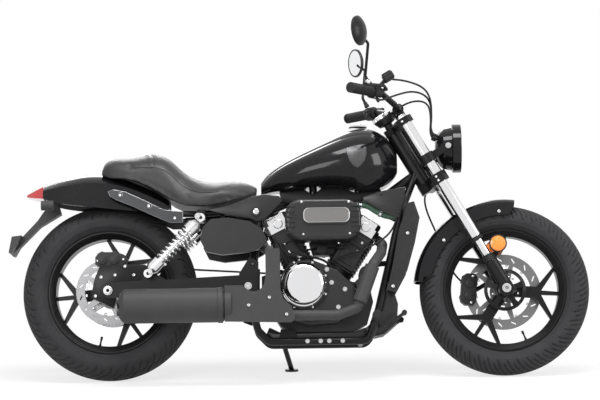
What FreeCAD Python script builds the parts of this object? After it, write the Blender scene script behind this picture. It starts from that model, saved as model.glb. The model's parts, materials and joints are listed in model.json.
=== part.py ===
"""A mid-size V-twin cruiser motorcycle with belt drive, parked on its side stand.

The machine is modelled upright: X points forward from the rear axle, Y to the left and Z up
from the ground.  The object Park then leans every piece over onto the side stand and brings
the origin to the middle of the machine's box, on the floor.  Pieces of the front fork are
modelled in the fork's own frame, with its origin in the front axle and Z up along the legs.
Lengths are in millimetres, angles in degrees.
"""
import FreeCAD, Part
import math
import os
import re

import PartDesign
import Sketcher

V = FreeCAD.Vector
doc = FreeCAD.newDocument("Cruiser")
dims = doc.addObject("Spreadsheet::Sheet", "Dims")

# Driving dimensions: alias, value, what it measures.
DIMENSIONS = (
    ("lean", 10, "lean onto the side stand"),
    ("box_x", 668.6, "middle of the machine's box, along"),
    ("box_y", 182.1, "middle of the leaned machine's box, across"),
    ("fit", 0.05, "radial clearance of a shaft in its bore"),
    ("gap", 0.3, "clearance between seated pieces"),
    ("wheelbase", 1390, "rear axle to front axle"),
    ("crown", 75, "crown radius of both tyres"),
    ("crown_angle", 40, "half the angle of the crown arc"),
    ("rim_bed", 203, "radius that the tyre beads sit on"),
    ("rim_hole", 189, "inner radius of the rim"),
    ("rim_lip", 213, "outer radius of the rim flange"),
    ("lip_wide", 7, "thickness of the rim flange"),
    ("front_tyre_r", 299.2, "outer radius of the front tyre"),
    ("front_tyre_half", 60, "half width of the front tyre"),
    ("front_rim_half", 46, "half width of the front rim"),
    ("rear_tyre_r", 308.2, "outer radius of the rear tyre"),
    ("rear_tyre_half", 75, "half width of the rear tyre"),
    ("rear_rim_half", 60, "half width of the rear rim"),
    ("spoke_node", 112, "radius where an arm splits in three spokes"),
    ("spoke_wide", 13, "width of a spoke"),
    ("arm_wide", 40, "width of an arm at the hub"),
    ("spoke_thick", 20, "thickness of arms and spokes"),
    ("spoke_fan", 28, "angle between neighbouring spokes of an arm"),
    ("hub_r", 36, "radius of the wheel hubs"),
    ("front_hub_half", 52, "half length of the front hub"),
    ("rear_hub_half", 80, "half length of the rear hub"),
    ("axle_r", 10, "radius of both axles"),
    ("axle_bore", 6, "radius of the bore through the axles"),
    ("disc_thick", 5, "thickness of the brake discs"),
    ("front_disc_r", 134, "outer radius of the front disc"),
    ("front_disc_hole", 98, "inner radius of the front braking ring"),
    ("front_disc_y", 58, "inner face of the front disc, left"),
    ("rear_disc_r", 115, "outer radius of the rear disc"),
    ("rear_disc_hole", 84, "inner radius of the rear braking ring"),
    ("rear_disc_y", 84, "inner face of the rear disc, right"),
    ("pulley_r", 106, "radius of the rear belt pulley"),
    ("pulley_y", 84, "inner face of the rear pulley, left"),
    ("belt_wide", 22, "width of the drive belt"),
    ("belt_thick", 5, "thickness of the drive belt"),
    ("drive_r", 42, "radius of the front pulley"),
    ("drive_x", 575, "front pulley, along"),
    ("drive_z", 335, "front pulley, up"),
    ("rake", 30.5, "angle of the fork from upright"),
    ("steer_back", 42, "steering axis behind the axle, across the fork"),
    ("leg_lead", 5, "leg axis ahead of the axle, across the fork"),
    ("leg_half", 98, "leg axes from the middle plane"),
    ("outer_r", 20.75, "radius of the chrome upper tubes"),
    ("inner_r", 15, "radius of the chrome sliding tubes"),
    ("foot_top", 110, "top of the cast feet, along the fork"),
    ("outer_low", 212, "lower end of the upper tubes"),
    ("outer_top", 704, "upper end of the upper tubes"),
    ("low_clamp", 436, "underside of the lower clamp"),
    ("low_clamp_high", 36, "height of the lower clamp"),
    ("top_clamp", 677, "underside of the upper clamp"),
    ("top_clamp_high", 24, "height of the upper clamp"),
    ("stem_r", 16, "radius of the steering stem"),
    ("head_r", 27, "radius of the steering head"),
    ("pivot_x", 484, "swingarm pivot, along"),
    ("pivot_z", 330, "swingarm pivot, up"),
    ("arm_y", 128, "swingarm legs from the middle plane"),
    ("arm_thick", 24, "thickness of the swingarm legs"),
    ("shock_y", 166, "shock absorbers from the middle plane"),
    ("shock_low_x", 142, "lower shock bolt, along"),
    ("shock_low_z", 363, "lower shock bolt, up"),
    ("shock_top_x", 327, "upper shock bolt, along"),
    ("shock_top_z", 556, "upper shock bolt, up"),
    ("coil_r", 21, "mean radius of the shock springs"),
    ("coil_wire", 4.2, "radius of the spring wire"),
    ("coil_turns", 8, "turns of a shock spring"),
    ("crank_x", 735, "crankshaft, along"),
    ("crank_z", 265, "crankshaft, up"),
    ("front_bank", 33, "lean of the front cylinder, forward"),
    ("rear_bank", 27, "lean of the rear cylinder, backward"),
    ("barrel_low", 120, "foot of the barrels from the crankshaft"),
    ("barrel_top", 285, "head joint from the crankshaft"),
    ("head_top", 343, "top of the rocker covers from the crankshaft"),
    ("head_half", 52, "half length of a cylinder head"),
    ("port", 310, "inlet and exhaust ports from the crankshaft"),
    ("clutch_x", 681, "clutch cover, along"),
    ("clutch_z", 318, "clutch cover, up"),
    ("clutch_r", 77, "radius of the clutch cover"),
    ("silencer_r", 60, "radius of the silencer"),
    ("silencer_y", 222, "silencer from the middle plane, right"),
    ("silencer_z", 246, "silencer, up"),
    ("fender_inset", 28, "sides of the front fender inside the leg axes"),
    ("lamp_r", 86, "radius of the headlamp bezel"),
    ("lamp_ear", 45, "headlamp's side bolts behind its front"),
    ("lamp_back", 147, "headlamp's front behind the front axle"),
    ("lamp_up", 508.8, "headlamp above the front axle"),
    ("stand_x", 605, "side stand pivot, along"),
    ("stand_y", 118, "side stand pivot, left"),
    ("stand_z", 138, "side stand pivot, up"),
    ("stand_pin_r", 6, "radius of the side stand's pivot pin"),
    ("stand_foot_x", 634, "side stand foot, along"),
    ("stand_foot_y", 219, "side stand foot, left"),
)
ALIASES = {alias for alias, _, _ in DIMENSIONS}
for row, (alias, value, meaning) in enumerate(DIMENSIONS, 1):
    dims.set(f"A{row}", meaning)
    dims.set(f"B{row}", str(value))
    dims.setAlias(f"B{row}", alias)
doc.recompute()


# ---------------------------------------------------------------- frames and placements
def bound(text):
    """The expression with each alias read from the spreadsheet."""
    return re.sub(r"[a-z_][a-z_0-9]*", lambda m: "Dims." + m[0] if m[0] in ALIASES else m[0], str(text))


def val(text):
    """The expression's value now."""
    return float(dims.evalExpression(bound(text)))


def spot(place):
    return V(*(val(part) for part in place))


def rotation(axis, angle):
    return f"rotation(vector({axis}); {angle})"


def placing(x, y, z, turn=rotation("0; 1; 0", "0")):
    return f"placement(vector({x}; {y}; {z}); {turn})"


FRAMES = {
    "bike": placing(0, 0, 0),
    "fork": placing("wheelbase", 0, "front_tyre_r", rotation("0; 1; 0", "-rake")),
    "front axle": placing("wheelbase", 0, "front_tyre_r"),
    "rear axle": placing(0, 0, "rear_tyre_r"),
}
park = doc.addObject("App::Placement", "Park")
park.setExpression("Placement", bound(placing(
    "-box_x", "-box_y", "crown * (1 - cos(lean))", rotation("1; 0; 0", "-lean"))))

pieces = []


def seat(piece, label, frame="bike", place=None):
    """Names the piece, puts it into its frame and leans it with the machine."""
    piece.Label = label
    own = f" * {place}" if place else ""
    piece.setExpression("Placement", bound(f"Park.Placement * {FRAMES[frame]}{own}"))
    pieces.append(piece)
    return piece


def feature(label, shape, frame="bike"):
    """A piece whose form is lofted or bent in space."""
    piece = doc.addObject("Part::Feature", label)
    piece.Shape = shape
    return seat(piece, label, frame)


def new_body(label, frame="bike", place=None):
    body = doc.addObject("PartDesign::Body", label)
    body.AllowCompound = True
    return seat(body, label, frame, place)


# ---------------------------------------------------------------- sketches and features
def origin(body, role):
    return next(item for item in body.Origin.OriginFeatures if item.Role == role)


def blank_sketch(body, plane, offset):
    sketch = body.newObject("Sketcher::SketchObject", "Sketch")
    sketch.AttachmentSupport = [(origin(body, plane), "")]
    sketch.MapMode = "FlatFace"
    sketch.setExpression("AttachmentOffset.Base.z", bound(offset))
    return sketch


def tie(sketch, kind, *where, text):
    """A dimension of the sketch, bound to the spreadsheet."""
    number = sketch.addConstraint(Sketcher.Constraint(kind, *where, val(text)))
    sketch.setExpression(f"Constraints[{number}]", bound(text))


def outline(body, plane, points, offset="0"):
    """A closed outline.  A point is (x, y) or (x, y, r): r bends the edge that leaves it, and
    a positive r bulges to the right of the way round."""
    sketch = blank_sketch(body, plane, offset)
    spots = [(val(p[0]), val(p[1])) for p in points]
    ends = []
    for i, point in enumerate(points):
        start, end = V(*spots[i], 0), V(*spots[(i + 1) % len(points)], 0)
        if len(point) == 2:
            sketch.addGeometry(Part.LineSegment(start, end), False)
            ends.append((1, 2))
            continue
        radius = val(point[2])
        chord = end - start
        half = chord.Length / 2
        side = V(-chord.y, chord.x, 0).normalize() * math.copysign(1, radius)
        centre = (start + end) / 2 + side * math.sqrt(max(radius * radius - half * half, 0))
        first, last = (start, end) if radius > 0 else (end, start)
        low, high = (math.atan2(p.y - centre.y, p.x - centre.x) for p in (first, last))
        ring = Part.Circle(centre, V(0, 0, 1), abs(radius))
        sketch.addGeometry(Part.ArcOfCircle(ring, low, high + (2 * math.pi if high < low else 0)), False)
        ends.append((1, 2) if radius > 0 else (2, 1))
    for i in range(len(points)):
        after = (i + 1) % len(points)
        sketch.addConstraint(Sketcher.Constraint("Coincident", i, ends[i][1], after, ends[after][0]))
    for i, point in enumerate(points):
        tie(sketch, "DistanceX", -1, 1, i, ends[i][0], text=point[0])
        tie(sketch, "DistanceY", -1, 1, i, ends[i][0], text=point[1])
        if len(point) == 3:
            tie(sketch, "Radius", i, text=f"abs({point[2]})")
    return sketch


def circles(body, plane, rounds, offset="0"):
    """Circles given as (x, y, radius)."""
    sketch = blank_sketch(body, plane, offset)
    for i, (x, y, r) in enumerate(rounds):
        sketch.addGeometry(Part.Circle(V(val(x), val(y), 0), V(0, 0, 1), val(r)), False)
        tie(sketch, "DistanceX", -1, 1, i, 3, text=x)
        tie(sketch, "DistanceY", -1, 1, i, 3, text=y)
        tie(sketch, "Radius", i, text=r)
    return sketch


def pad(body, sketch, length, middle=False, back=False):
    item = body.newObject("PartDesign::Pad", "Pad")
    item.Profile = sketch
    item.setExpression("Length", bound(length))
    item.Midplane = middle
    item.Reversed = back
    doc.recompute()
    return item


def pocket(body, sketch, length, middle=False, back=False):
    item = body.newObject("PartDesign::Pocket", "Pocket")
    item.Profile = sketch
    item.setExpression("Length", bound(length))
    item.Midplane = middle
    item.Reversed = back
    doc.recompute()
    return item


def turn(body, sketch, axis="V_Axis", angle="360", back=False):
    item = body.newObject("PartDesign::Revolution", "Turn")
    item.Profile = sketch
    item.ReferenceAxis = (sketch, [axis])
    item.Reversed = back
    item.setExpression("Angle", bound(angle))
    doc.recompute()
    return item


def around(body, item, role, count):
    """Copies of a feature evenly round one of the body's axes."""
    pattern = body.newObject("PartDesign::PolarPattern", "Around")
    pattern.Originals = [item]
    pattern.Axis = (origin(body, role), [""])
    pattern.Angle = 360
    pattern.Occurrences = count
    body.Tip = pattern
    doc.recompute()
    return pattern


def both_sides(body, item):
    """The feature again on the other side of the middle plane."""
    mirror = body.newObject("PartDesign::Mirrored", "Mirror")
    mirror.Originals = [item]
    mirror.MirrorPlane = (origin(body, "XZ_Plane"), [""])
    body.Tip = mirror
    doc.recompute()
    return mirror


def soften(body, item, radius, chosen):
    """Rounds the edges of the feature that the test picks."""
    names = [f"Edge{i}" for i, edge in enumerate(item.Shape.Edges, 1) if chosen(edge)]
    fillet = body.newObject("PartDesign::Fillet", "Round")
    fillet.Base = (item, names)
    fillet.setExpression("Radius", bound(radius))
    doc.recompute()
    return fillet


def along(axis):
    """A test for straight edges that run along the axis."""
    def test(edge):
        if edge.Curve.TypeId != "Part::GeomLine":
            return False
        return abs(edge.tangentAt(edge.FirstParameter).dot(axis)) > 0.999
    return test


# ---------------------------------------------------------------- forms bent or lofted in space
def path(points, bend):
    """Straight runs through the points, joined by arcs of the bend radius."""
    points = [V(*p) for p in points]
    edges = []
    start = points[0]
    for before, corner, after in zip(points, points[1:], points[2:]):
        one = (before - corner).normalize()
        two = (after - corner).normalize()
        half = one.getAngle(two) / 2
        reach = bend / math.tan(half)
        middle = (one + two).normalize()
        arc = Part.Arc(corner + one * reach, corner + middle * (bend / math.sin(half) - bend),
                       corner + two * reach)
        edges += [Part.makeLine(start, corner + one * reach), arc.toShape()]
        start = corner + two * reach
    edges.append(Part.makeLine(start, points[-1]))
    return Part.Wire(edges)


def tube(points, radius, bend=40):
    """A round bar along the path."""
    spine = path(points, bend) if len(points) > 2 else Part.Wire([Part.makeLine(V(*points[0]), V(*points[1]))])
    way = V(*points[1]) - V(*points[0])
    ring = Part.Wire([Part.makeCircle(radius, V(*points[0]), way)])
    return spine.makePipeShell([ring], True, False)


def rod(start, end, radius):
    """A straight round bar between two points."""
    start, end = V(*start), V(*end)
    return Part.makeCylinder(radius, (end - start).Length, start, end - start)


def mirrored(shape):
    return shape.mirror(V(0, 0, 0), V(0, 1, 0))


def pair(shape):
    """The shape and its mirror image, as one compound."""
    return Part.makeCompound([shape, mirrored(shape)])


def fused(shapes):
    result = shapes[0]
    for shape in shapes[1:]:
        result = result.fuse(shape)
    return result


def block(x0, x1, y0, y1, z0, z1, radius=0.0):
    """A box between the given planes, with its edges rounded."""
    shape = Part.makeBox(x1 - x0, y1 - y0, z1 - z0, V(x0, y0, z0))
    return shape.makeFillet(radius, shape.Edges) if radius else shape


def slab(points, y0, y1):
    """A plate with the given outline in X and Z, between two planes across the machine.  A point
    is (x, z), or (x, z, mx, mz) where an arc leaves it and passes through (mx, mz)."""
    edges = []
    for i, point in enumerate(points):
        after = points[(i + 1) % len(points)]
        start, end = V(point[0], y0, point[1]), V(after[0], y0, after[1])
        if len(point) == 4:
            edges.append(Part.Arc(start, V(point[2], y0, point[3]), end).toShape())
        else:
            edges.append(Part.makeLine(start, end))
    return Part.Face(Part.Wire(edges)).extrude(V(0, y1 - y0, 0))


def arch(x, half, top, shoulder, low, crown):
    """A section across the machine: flat foot, upright sides bulging out to a crowned top.
    half: width at the foot; shoulder: height where the crown starts; crown: its half width."""
    foot_l, foot_r = V(x, half, low), V(x, -half, low)
    side_l, side_r = V(x, crown, shoulder), V(x, -crown, shoulder)
    return Part.Wire([
        Part.makeLine(foot_r, foot_l),
        Part.makeLine(foot_l, side_l),
        Part.Arc(side_l, V(x, 0, top), side_r).toShape(),
        Part.makeLine(side_r, foot_r)])


def drop(x, foot, low, half, middle, shoulder, high, top):
    """A drop-shaped section across the machine.  foot: half width of the flat underside at low;
    half: greatest half width at the height middle; shoulder: half width where the crown starts
    at the height high; top: height of the crown."""
    def side(sign):
        return Part.Arc(V(x, sign * foot, low), V(x, sign * half, middle), V(x, sign * shoulder, high)).toShape()
    return Part.Wire([
        Part.makeLine(V(x, -foot, low), V(x, foot, low)),
        side(1),
        Part.Arc(V(x, shoulder, high), V(x, 0, top), V(x, -shoulder, high)).toShape(),
        side(-1)])


def loft(sections, ruled=False):
    return Part.makeLoft(sections, True, ruled)


Y_WAY = V(0, 1, 0)


class Sizes:
    """The spreadsheet's values, by their names, for the lofted and bent pieces."""
    def __getattr__(self, name):
        return val(name)


size = Sizes()


# ---------------------------------------------------------------- wheels
def tyre(label, frame, outer, half, rim_half):
    """Round crown, bulging sidewalls and beads that sit inside the rim's flanges."""
    body = new_body(label, frame)
    bead = f"({rim_half} - lip_wide - gap)"
    root = "(rim_lip + 2)"
    crown_x = f"({outer} - crown + crown * cos(crown_angle))"
    crown_y = "(crown * sin(crown_angle))"
    chord = f"(({crown_x} - {root}) ^ 2 + ({crown_y} - {bead}) ^ 2)"
    bulge = f"({half} - ({bead} + {crown_y}) / 2)"
    side = f"{chord} / (8 * {bulge}) + {bulge} / 2"
    section = outline(body, "XY_Plane", [
        ("rim_bed + gap", f"-{bead}"),
        (root, f"-{bead}", side),
        (crown_x, f"-{crown_y}", "crown"),
        (crown_x, crown_y, side),
        (root, bead),
        ("rim_bed + gap", bead)])
    turn(body, section)


def wheel(label, frame, rim_half, hub_left, hub_right, first_arm):
    """Cast wheel: three arms leave the hub and each fans out into three slim spokes."""
    body = new_body(label, frame, placing(0, 0, 0, rotation("0; 1; 0", f"-({first_arm})")))
    turn(body, outline(body, "XY_Plane", [
        ("rim_hole", f"16 - {rim_half}"),
        ("rim_lip - 4", f"-{rim_half}"),
        ("rim_lip", f"-{rim_half}"),
        ("rim_lip", f"lip_wide - {rim_half}"),
        ("rim_bed", f"lip_wide - {rim_half}"),
        ("rim_bed", f"{rim_half} - lip_wide"),
        ("rim_lip", f"{rim_half} - lip_wide"),
        ("rim_lip", rim_half),
        ("rim_lip - 4", rim_half),
        ("rim_hole", f"{rim_half} - 16")]))
    turn(body, outline(body, "XY_Plane", [
        ("axle_r + fit", f"-({hub_right})"),
        ("hub_r * 0.8", f"-({hub_right})"),
        ("hub_r", "-spoke_thick"),
        ("hub_r", "spoke_thick"),
        ("hub_r * 0.8", hub_left),
        ("axle_r + fit", hub_left)]))
    tip = "((rim_hole + rim_bed) / 2)"
    lead_x = f"{tip} * cos(spoke_fan)"
    lead_y = f"{tip} * sin(spoke_fan)"
    slant_x = "spoke_wide / 2 * sin(spoke_fan)"
    slant_y = "spoke_wide / 2 * cos(spoke_fan)"
    lower = [
        ("hub_r - 4", "-arm_wide / 2"),
        ("spoke_node", "-arm_wide / 2"),
        (f"{lead_x} - {slant_x}", f"-{lead_y} - {slant_y}"),
        (f"{lead_x} + {slant_x}", f"-{lead_y} + {slant_y}"),
        ("spoke_node + 18", "-spoke_wide * 0.6"),
        (tip, "-spoke_wide / 2")]
    upper = [(x, f"-({y})") for x, y in reversed(lower)]
    arm = pad(body, outline(body, "XZ_Plane", lower + upper), "spoke_thick", middle=True)
    around(body, arm, "Y_Axis", 3)


def disc(label, frame, outer, hole, face, left, slots):
    """Braking ring with slanting slots, on a five-armed carrier."""
    body = new_body(label, frame)
    offset = f"-{face}" if left else face
    ring = pad(body, circles(body, "XZ_Plane", [(0, 0, outer), (0, 0, hole)], offset), "disc_thick", back=left)
    pad(body, circles(body, "XZ_Plane", [(0, 0, "hub_r + 12"), (0, 0, "axle_r + 8")], offset),
        "disc_thick", back=left)
    arm = pad(body, outline(body, "XZ_Plane", [
        ("hub_r + 6", -12), (f"{hole} + 4", -7), (f"{hole} + 4", 7), ("hub_r + 6", 12)], offset),
        "disc_thick", back=left)
    around(body, arm, "Y_Axis", 5)
    width = f"({outer} - {hole})"
    slot = pocket(body, outline(body, "XZ_Plane", [
        (f"{hole} + {width} * 0.25", -8), (f"{hole} + {width} * 0.25 + 6", -8),
        (f"{hole} + {width} * 0.75", 6), (f"{hole} + {width} * 0.75 - 6", 6)], offset),
        "disc_thick * 3", middle=True)
    around(body, slot, "Y_Axis", slots)
    return ring


def axle(label, frame, half):
    """A hollow axle with a head and a nut outside the pieces that hold it."""
    body = new_body(label, frame)
    turn(body, outline(body, "XY_Plane", [
        ("axle_bore", f"-({half})"), ("axle_r + 6", f"-({half})"), ("axle_r + 6", f"10 - ({half})"),
        ("axle_r", f"10 - ({half})"), ("axle_r", f"{half} - 10"), ("axle_r + 6", f"{half} - 10"),
        ("axle_r + 6", half), ("axle_bore", half)]))


def rear_pulley():
    body = new_body("rear_pulley", "rear axle")
    turn(body, outline(body, "XY_Plane", [
        ("pulley_r - 12", "pulley_y"),
        ("pulley_r + 6", "pulley_y"),
        ("pulley_r + 6", "pulley_y + 2"),
        ("pulley_r", "pulley_y + 2"),
        ("pulley_r", "pulley_y + belt_wide + 4"),
        ("pulley_r - 12", "pulley_y + belt_wide + 4")]))
    turn(body, outline(body, "XY_Plane", [
        ("axle_r + 8", "pulley_y"), ("hub_r + 12", "pulley_y"),
        ("hub_r + 12", "pulley_y + 14"), ("axle_r + 8", "pulley_y + 14")]))
    web = pad(body, outline(body, "XZ_Plane", [
        ("hub_r + 6", -14), ("pulley_r - 8", -9), ("pulley_r - 8", 9), ("hub_r + 6", 14)], "-pulley_y"),
        10, back=True)
    around(body, web, "Y_Axis", 5)


tyre("front_tyre", "front axle", "front_tyre_r", "front_tyre_half", "front_rim_half")
tyre("rear_tyre", "rear axle", "rear_tyre_r", "rear_tyre_half", "rear_rim_half")
wheel("front_wheel", "front axle", "front_rim_half", "front_disc_y - gap", "front_hub_half", -4)
wheel("rear_wheel", "rear axle", "rear_rim_half", "pulley_y - gap", "rear_disc_y - gap", 65)
disc("front_disc", "front axle", "front_disc_r", "front_disc_hole", "front_disc_y", True, 15)
disc("rear_disc", "rear axle", "rear_disc_r", "rear_disc_hole", "rear_disc_y", False, 15)
axle("front_axle", "front axle", "leg_half + 38")
axle("rear_axle", "rear axle", "arm_y + arm_thick / 2 + gap + 10")
rear_pulley()


# ---------------------------------------------------------------- fork and steering
def fork_tubes():
    """Chrome upper tubes with the thinner sliding tubes below, one pair."""
    body = new_body("fork_tubes", "fork")
    upper = [("leg_lead", side + "leg_half", "outer_r") for side in ("", "-")]
    slider = [("leg_lead", side + "leg_half", "inner_r") for side in ("", "-")]
    pad(body, circles(body, "XY_Plane", upper, "outer_low"), "outer_top - outer_low")
    pad(body, circles(body, "XY_Plane", slider, "foot_top"), "outer_low - foot_top")


def fork_feet():
    """Cast feet that hold the axle and close the sliding tubes."""
    body = new_body("fork_feet", "fork")
    legs = [("leg_lead", side + "leg_half", 24) for side in ("", "-")]
    pad(body, circles(body, "XY_Plane", legs, "-26"), "foot_top + 26 - gap")
    boss = pad(body, circles(body, "XZ_Plane", [(0, 0, 26)], "leg_half"), 52, middle=True)
    both_sides(body, boss)
    stay = pad(body, outline(body, "XZ_Plane", [
        (-8, 60), (16, 60), (20, 200), (44, "front_tyre_r - 8"), (38, "front_tyre_r + 6"),
        (-28, "front_tyre_r + 6"), (-34, "front_tyre_r - 8"), (-6, 200)], "leg_half - fender_inset + gap"), 6)
    both_sides(body, stay)
    pocket(body, circles(body, "XZ_Plane", [(0, 0, "axle_r + fit")], 0), "leg_half * 3", middle=True)


def triple_clamps():
    """Two clamps joined by the steering stem; each grips both legs."""
    body = new_body("triple_clamps", "fork")
    for low, high in (("low_clamp", "low_clamp_high"), ("top_clamp", "top_clamp_high")):
        plate = outline(body, "XY_Plane", [
            ("-steer_back - 28", -16), ("-steer_back", -32), ("leg_lead - 30", "-leg_half - 16"),
            ("leg_lead - 10", "-leg_half - 30"), ("leg_lead + 14", "-leg_half - 28"),
            ("leg_lead + 31", "-leg_half"), ("leg_lead + 8", -50), ("leg_lead + 8", 50),
            ("leg_lead + 31", "leg_half"), ("leg_lead + 14", "leg_half + 28"),
            ("leg_lead - 10", "leg_half + 30"), ("leg_lead - 30", "leg_half + 16"),
            ("-steer_back", 32), ("-steer_back - 28", 16)], low)
        pad(body, plate, high)
    ear_x = "(lamp_up * sin(rake) - (lamp_back + lamp_ear) * cos(rake))"
    ear_z = "((lamp_back + lamp_ear) * sin(rake) + lamp_up * cos(rake))"
    grips = [("leg_lead", side + "leg_half", "outer_r + 7") for side in ("", "-")]
    pad(body, circles(body, "XY_Plane", grips, f"{ear_z} - 20"), 34)
    arm = pad(body, outline(body, "XZ_Plane", [
        ("leg_lead + 12", f"{ear_z} - 16"), (f"{ear_x} - 6", f"{ear_z} - 12"), (f"{ear_x} + 8", f"{ear_z} - 8"),
        (f"{ear_x} + 8", f"{ear_z} + 8"), (f"{ear_x} - 6", f"{ear_z} + 12"), ("leg_lead + 12", f"{ear_z} + 12")],
        "lamp_r"), 8)
    both_sides(body, arm)
    bores = [("leg_lead", side + "leg_half", "outer_r + fit") for side in ("", "-")]
    pocket(body, circles(body, "XY_Plane", bores, "low_clamp - 5"), "outer_top - low_clamp + 20", back=True)
    pad(body, circles(body, "XY_Plane", [("-steer_back", 0, "stem_r")], "low_clamp"),
        "top_clamp + top_clamp_high + 8 - low_clamp")


BAR = (  # the handlebar's left half, in the fork's frame: ahead, left, along
    (12, 0, 741), (12, 95, 741), (-26, 235, 800), (-116, 375, 853))
BAR_R = 11
GRIP_R = 16.5


def handlebar():
    """Bent tube on two risers."""
    left = [V(*p) for p in BAR]
    points = [V(p.x, -p.y, p.z) for p in reversed(left[1:])] + left[1:]
    bar = tube([tuple(p) for p in points], BAR_R, 50)
    risers = [rod((12, side * 45, size.top_clamp + size.top_clamp_high + size.gap), (12, side * 45, 741), 15)
              for side in (1, -1)]
    yokes = [rod((12, side * 45 - 18, 741), (12, side * 45 + 18, 741), 20) for side in (1, -1)]
    feature("handlebar", fused([bar] + risers + yokes), "fork")


def bar_controls():
    """Grips, switch boxes and levers, a set on each side, with the front brake's reservoir."""
    inner, end = V(*BAR[2]), V(*BAR[3])
    way = (end - inner).normalize()

    def sleeve(start, length, radius):
        tube_out = Part.makeCylinder(radius, length, inner + way * start, way)
        return tube_out.cut(Part.makeCylinder(BAR_R + size.gap, length, inner + way * start, way))
    grip = sleeve(61, 110, GRIP_R)
    cap = Part.makeCylinder(GRIP_R + 2, 8, end + way * size.gap, way)
    box = sleeve(25, 34, 24)
    lever = tube([tuple(inner + way * 12 + V(28, 0, -2)), tuple(inner + way * 60 + V(48, 0, -6)),
                  tuple(inner + way * 165 + V(40, 0, -8))], 5.5, 30)
    perch = rod(tuple(inner + way * 17 + V(13, 0, 0)), tuple(inner + way * 17 + V(34, 0, -4)), 6.5)
    ring = sleeve(10, 14, 18)
    bar = Part.makeCylinder(BAR_R + size.gap, 400, inner - way * 60, way)
    side = fused([grip, box, ring, perch, lever]).cut(bar)
    reservoir = block(4, 44, -262, -214, 822, 850, 6)
    arm = rod((-30, -247, 820), (14, -244, 832), 7)
    right = mirrored(side).fuse(reservoir.fuse(arm).cut(mirrored(bar)))
    feature("bar_controls", Part.makeCompound([side, cap, right, mirrored(cap)]), "fork")


def mirrors():
    """Round glasses in shallow cups, each on a bent stem."""
    inner, end = V(*BAR[2]), V(*BAR[3])
    way = (end - inner).normalize()
    foot = inner + way * 40 + V(0, 0, 27)
    stem = tube([tuple(foot), tuple(foot + V(2, -4, 38)), (20, 300, 965), (10, 335, 1000)], 5, 12)
    normal = V(-0.80, -0.45, 0.40).normalize()
    centre = V(8, 352, 1014)
    ring = Part.Face(Part.Wire([
        Part.makeLine(V(0, 0, 0), V(52, 0, 0)), Part.makeLine(V(52, 0, 0), V(52, 0, -6)),
        Part.Arc(V(52, 0, -6), V(34, 0, -18), V(0, 0, -24)).toShape(), Part.makeLine(V(0, 0, -24), V(0, 0, 0))]))
    cup = ring.revolve(V(0, 0, 0), V(0, 0, 1), 360)
    cup.Placement = FreeCAD.Placement(centre, FreeCAD.Rotation(V(0, 0, 1), normal))
    feature("mirrors", pair(fused([stem, cup])), "fork")


def headlight():
    """Bucket with a deep bezel, open at the front for the lens, on two arms from the legs."""
    body = new_body("headlight", "bike", placing("wheelbase - lamp_back", 0, "front_tyre_r + lamp_up"))
    turn(body, outline(body, "XZ_Plane", [
        (0, "lamp_r - 10"), (0, "lamp_r"), (-27, "lamp_r"), (-30, "lamp_r - 8"),
        (-60, "lamp_r - 14", 70), (-88, 12), (-88, 0), (-12, 0), (-12, "lamp_r - 10")]), "H_Axis")
    ear = pad(body, circles(body, "XZ_Plane", [("-lamp_ear", 0, 11)], "lamp_r - 20"), "20 - gap")
    both_sides(body, ear)


def headlight_lens():
    body = new_body("headlight_lens", "bike", placing("wheelbase - lamp_back", 0, "front_tyre_r + lamp_up"))
    turn(body, outline(body, "XZ_Plane", [
        ("-12 + gap", 0), (0, 0, 160), (-6, "lamp_r - 10 - gap"), ("-12 + gap", "lamp_r - 10 - gap")]), "H_Axis")


def gauge():
    """Round instrument on the upper clamp, tilted to the rider."""
    body = new_body("gauge", "fork", placing("-steer_back", 0, "top_clamp + top_clamp_high + 8 + gap"))
    turn(body, outline(body, "XZ_Plane", [
        (0, 0), (15, 0), (15, 8), (30, 12), (40, 32), (40, 46), (35, 46), (35, 42), (0, 42)]))


def front_fender():
    """Arched blade round the tyre with a stay to each leg."""
    start = "83"
    body = new_body("front_fender", "front axle", placing(0, 0, 0, rotation("0; 1; 0", f"-{start}")))
    turn(body, outline(body, "XY_Plane", [
        ("front_tyre_r - 8", "3 + fender_inset - leg_half"), ("front_tyre_r - 8", "fender_inset - leg_half"),
        ("front_tyre_r + 8", "fender_inset - leg_half", 44), ("front_tyre_r + 20", -28, 150), ("front_tyre_r + 20", 28, 44),
        ("front_tyre_r + 8", "leg_half - fender_inset"), ("front_tyre_r - 8", "leg_half - fender_inset"),
        ("front_tyre_r - 8", "leg_half - fender_inset - 3"), ("front_tyre_r + 6", "leg_half - fender_inset - 3", -40),
        ("front_tyre_r + 16", 28, -150), ("front_tyre_r + 16", -28, -40),
        ("front_tyre_r + 6", "3 + fender_inset - leg_half")]), angle="91", back=True)


fork_tubes()
fork_feet()
triple_clamps()
handlebar()
bar_controls()
mirrors()
headlight()
headlight_lens()
gauge()
front_fender()


# ---------------------------------------------------------------- frame and running gear
def bike(ahead, left, up):
    """A point of the fork's frame, in the machine's upright frame."""
    lean_back = math.radians(size.rake)
    return V(size.wheelbase + ahead * math.cos(lean_back) - up * math.sin(lean_back), left,
             size.front_tyre_r + ahead * math.sin(lean_back) + up * math.cos(lean_back))


BACKBONE = V(640, 0, 628), V(980, 0, 640)
BACKBONE_R = 18
STAND_AXIS = V(0, 0.833, 0.553)  # the side stand's pivot, square to the leg's swing


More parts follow.
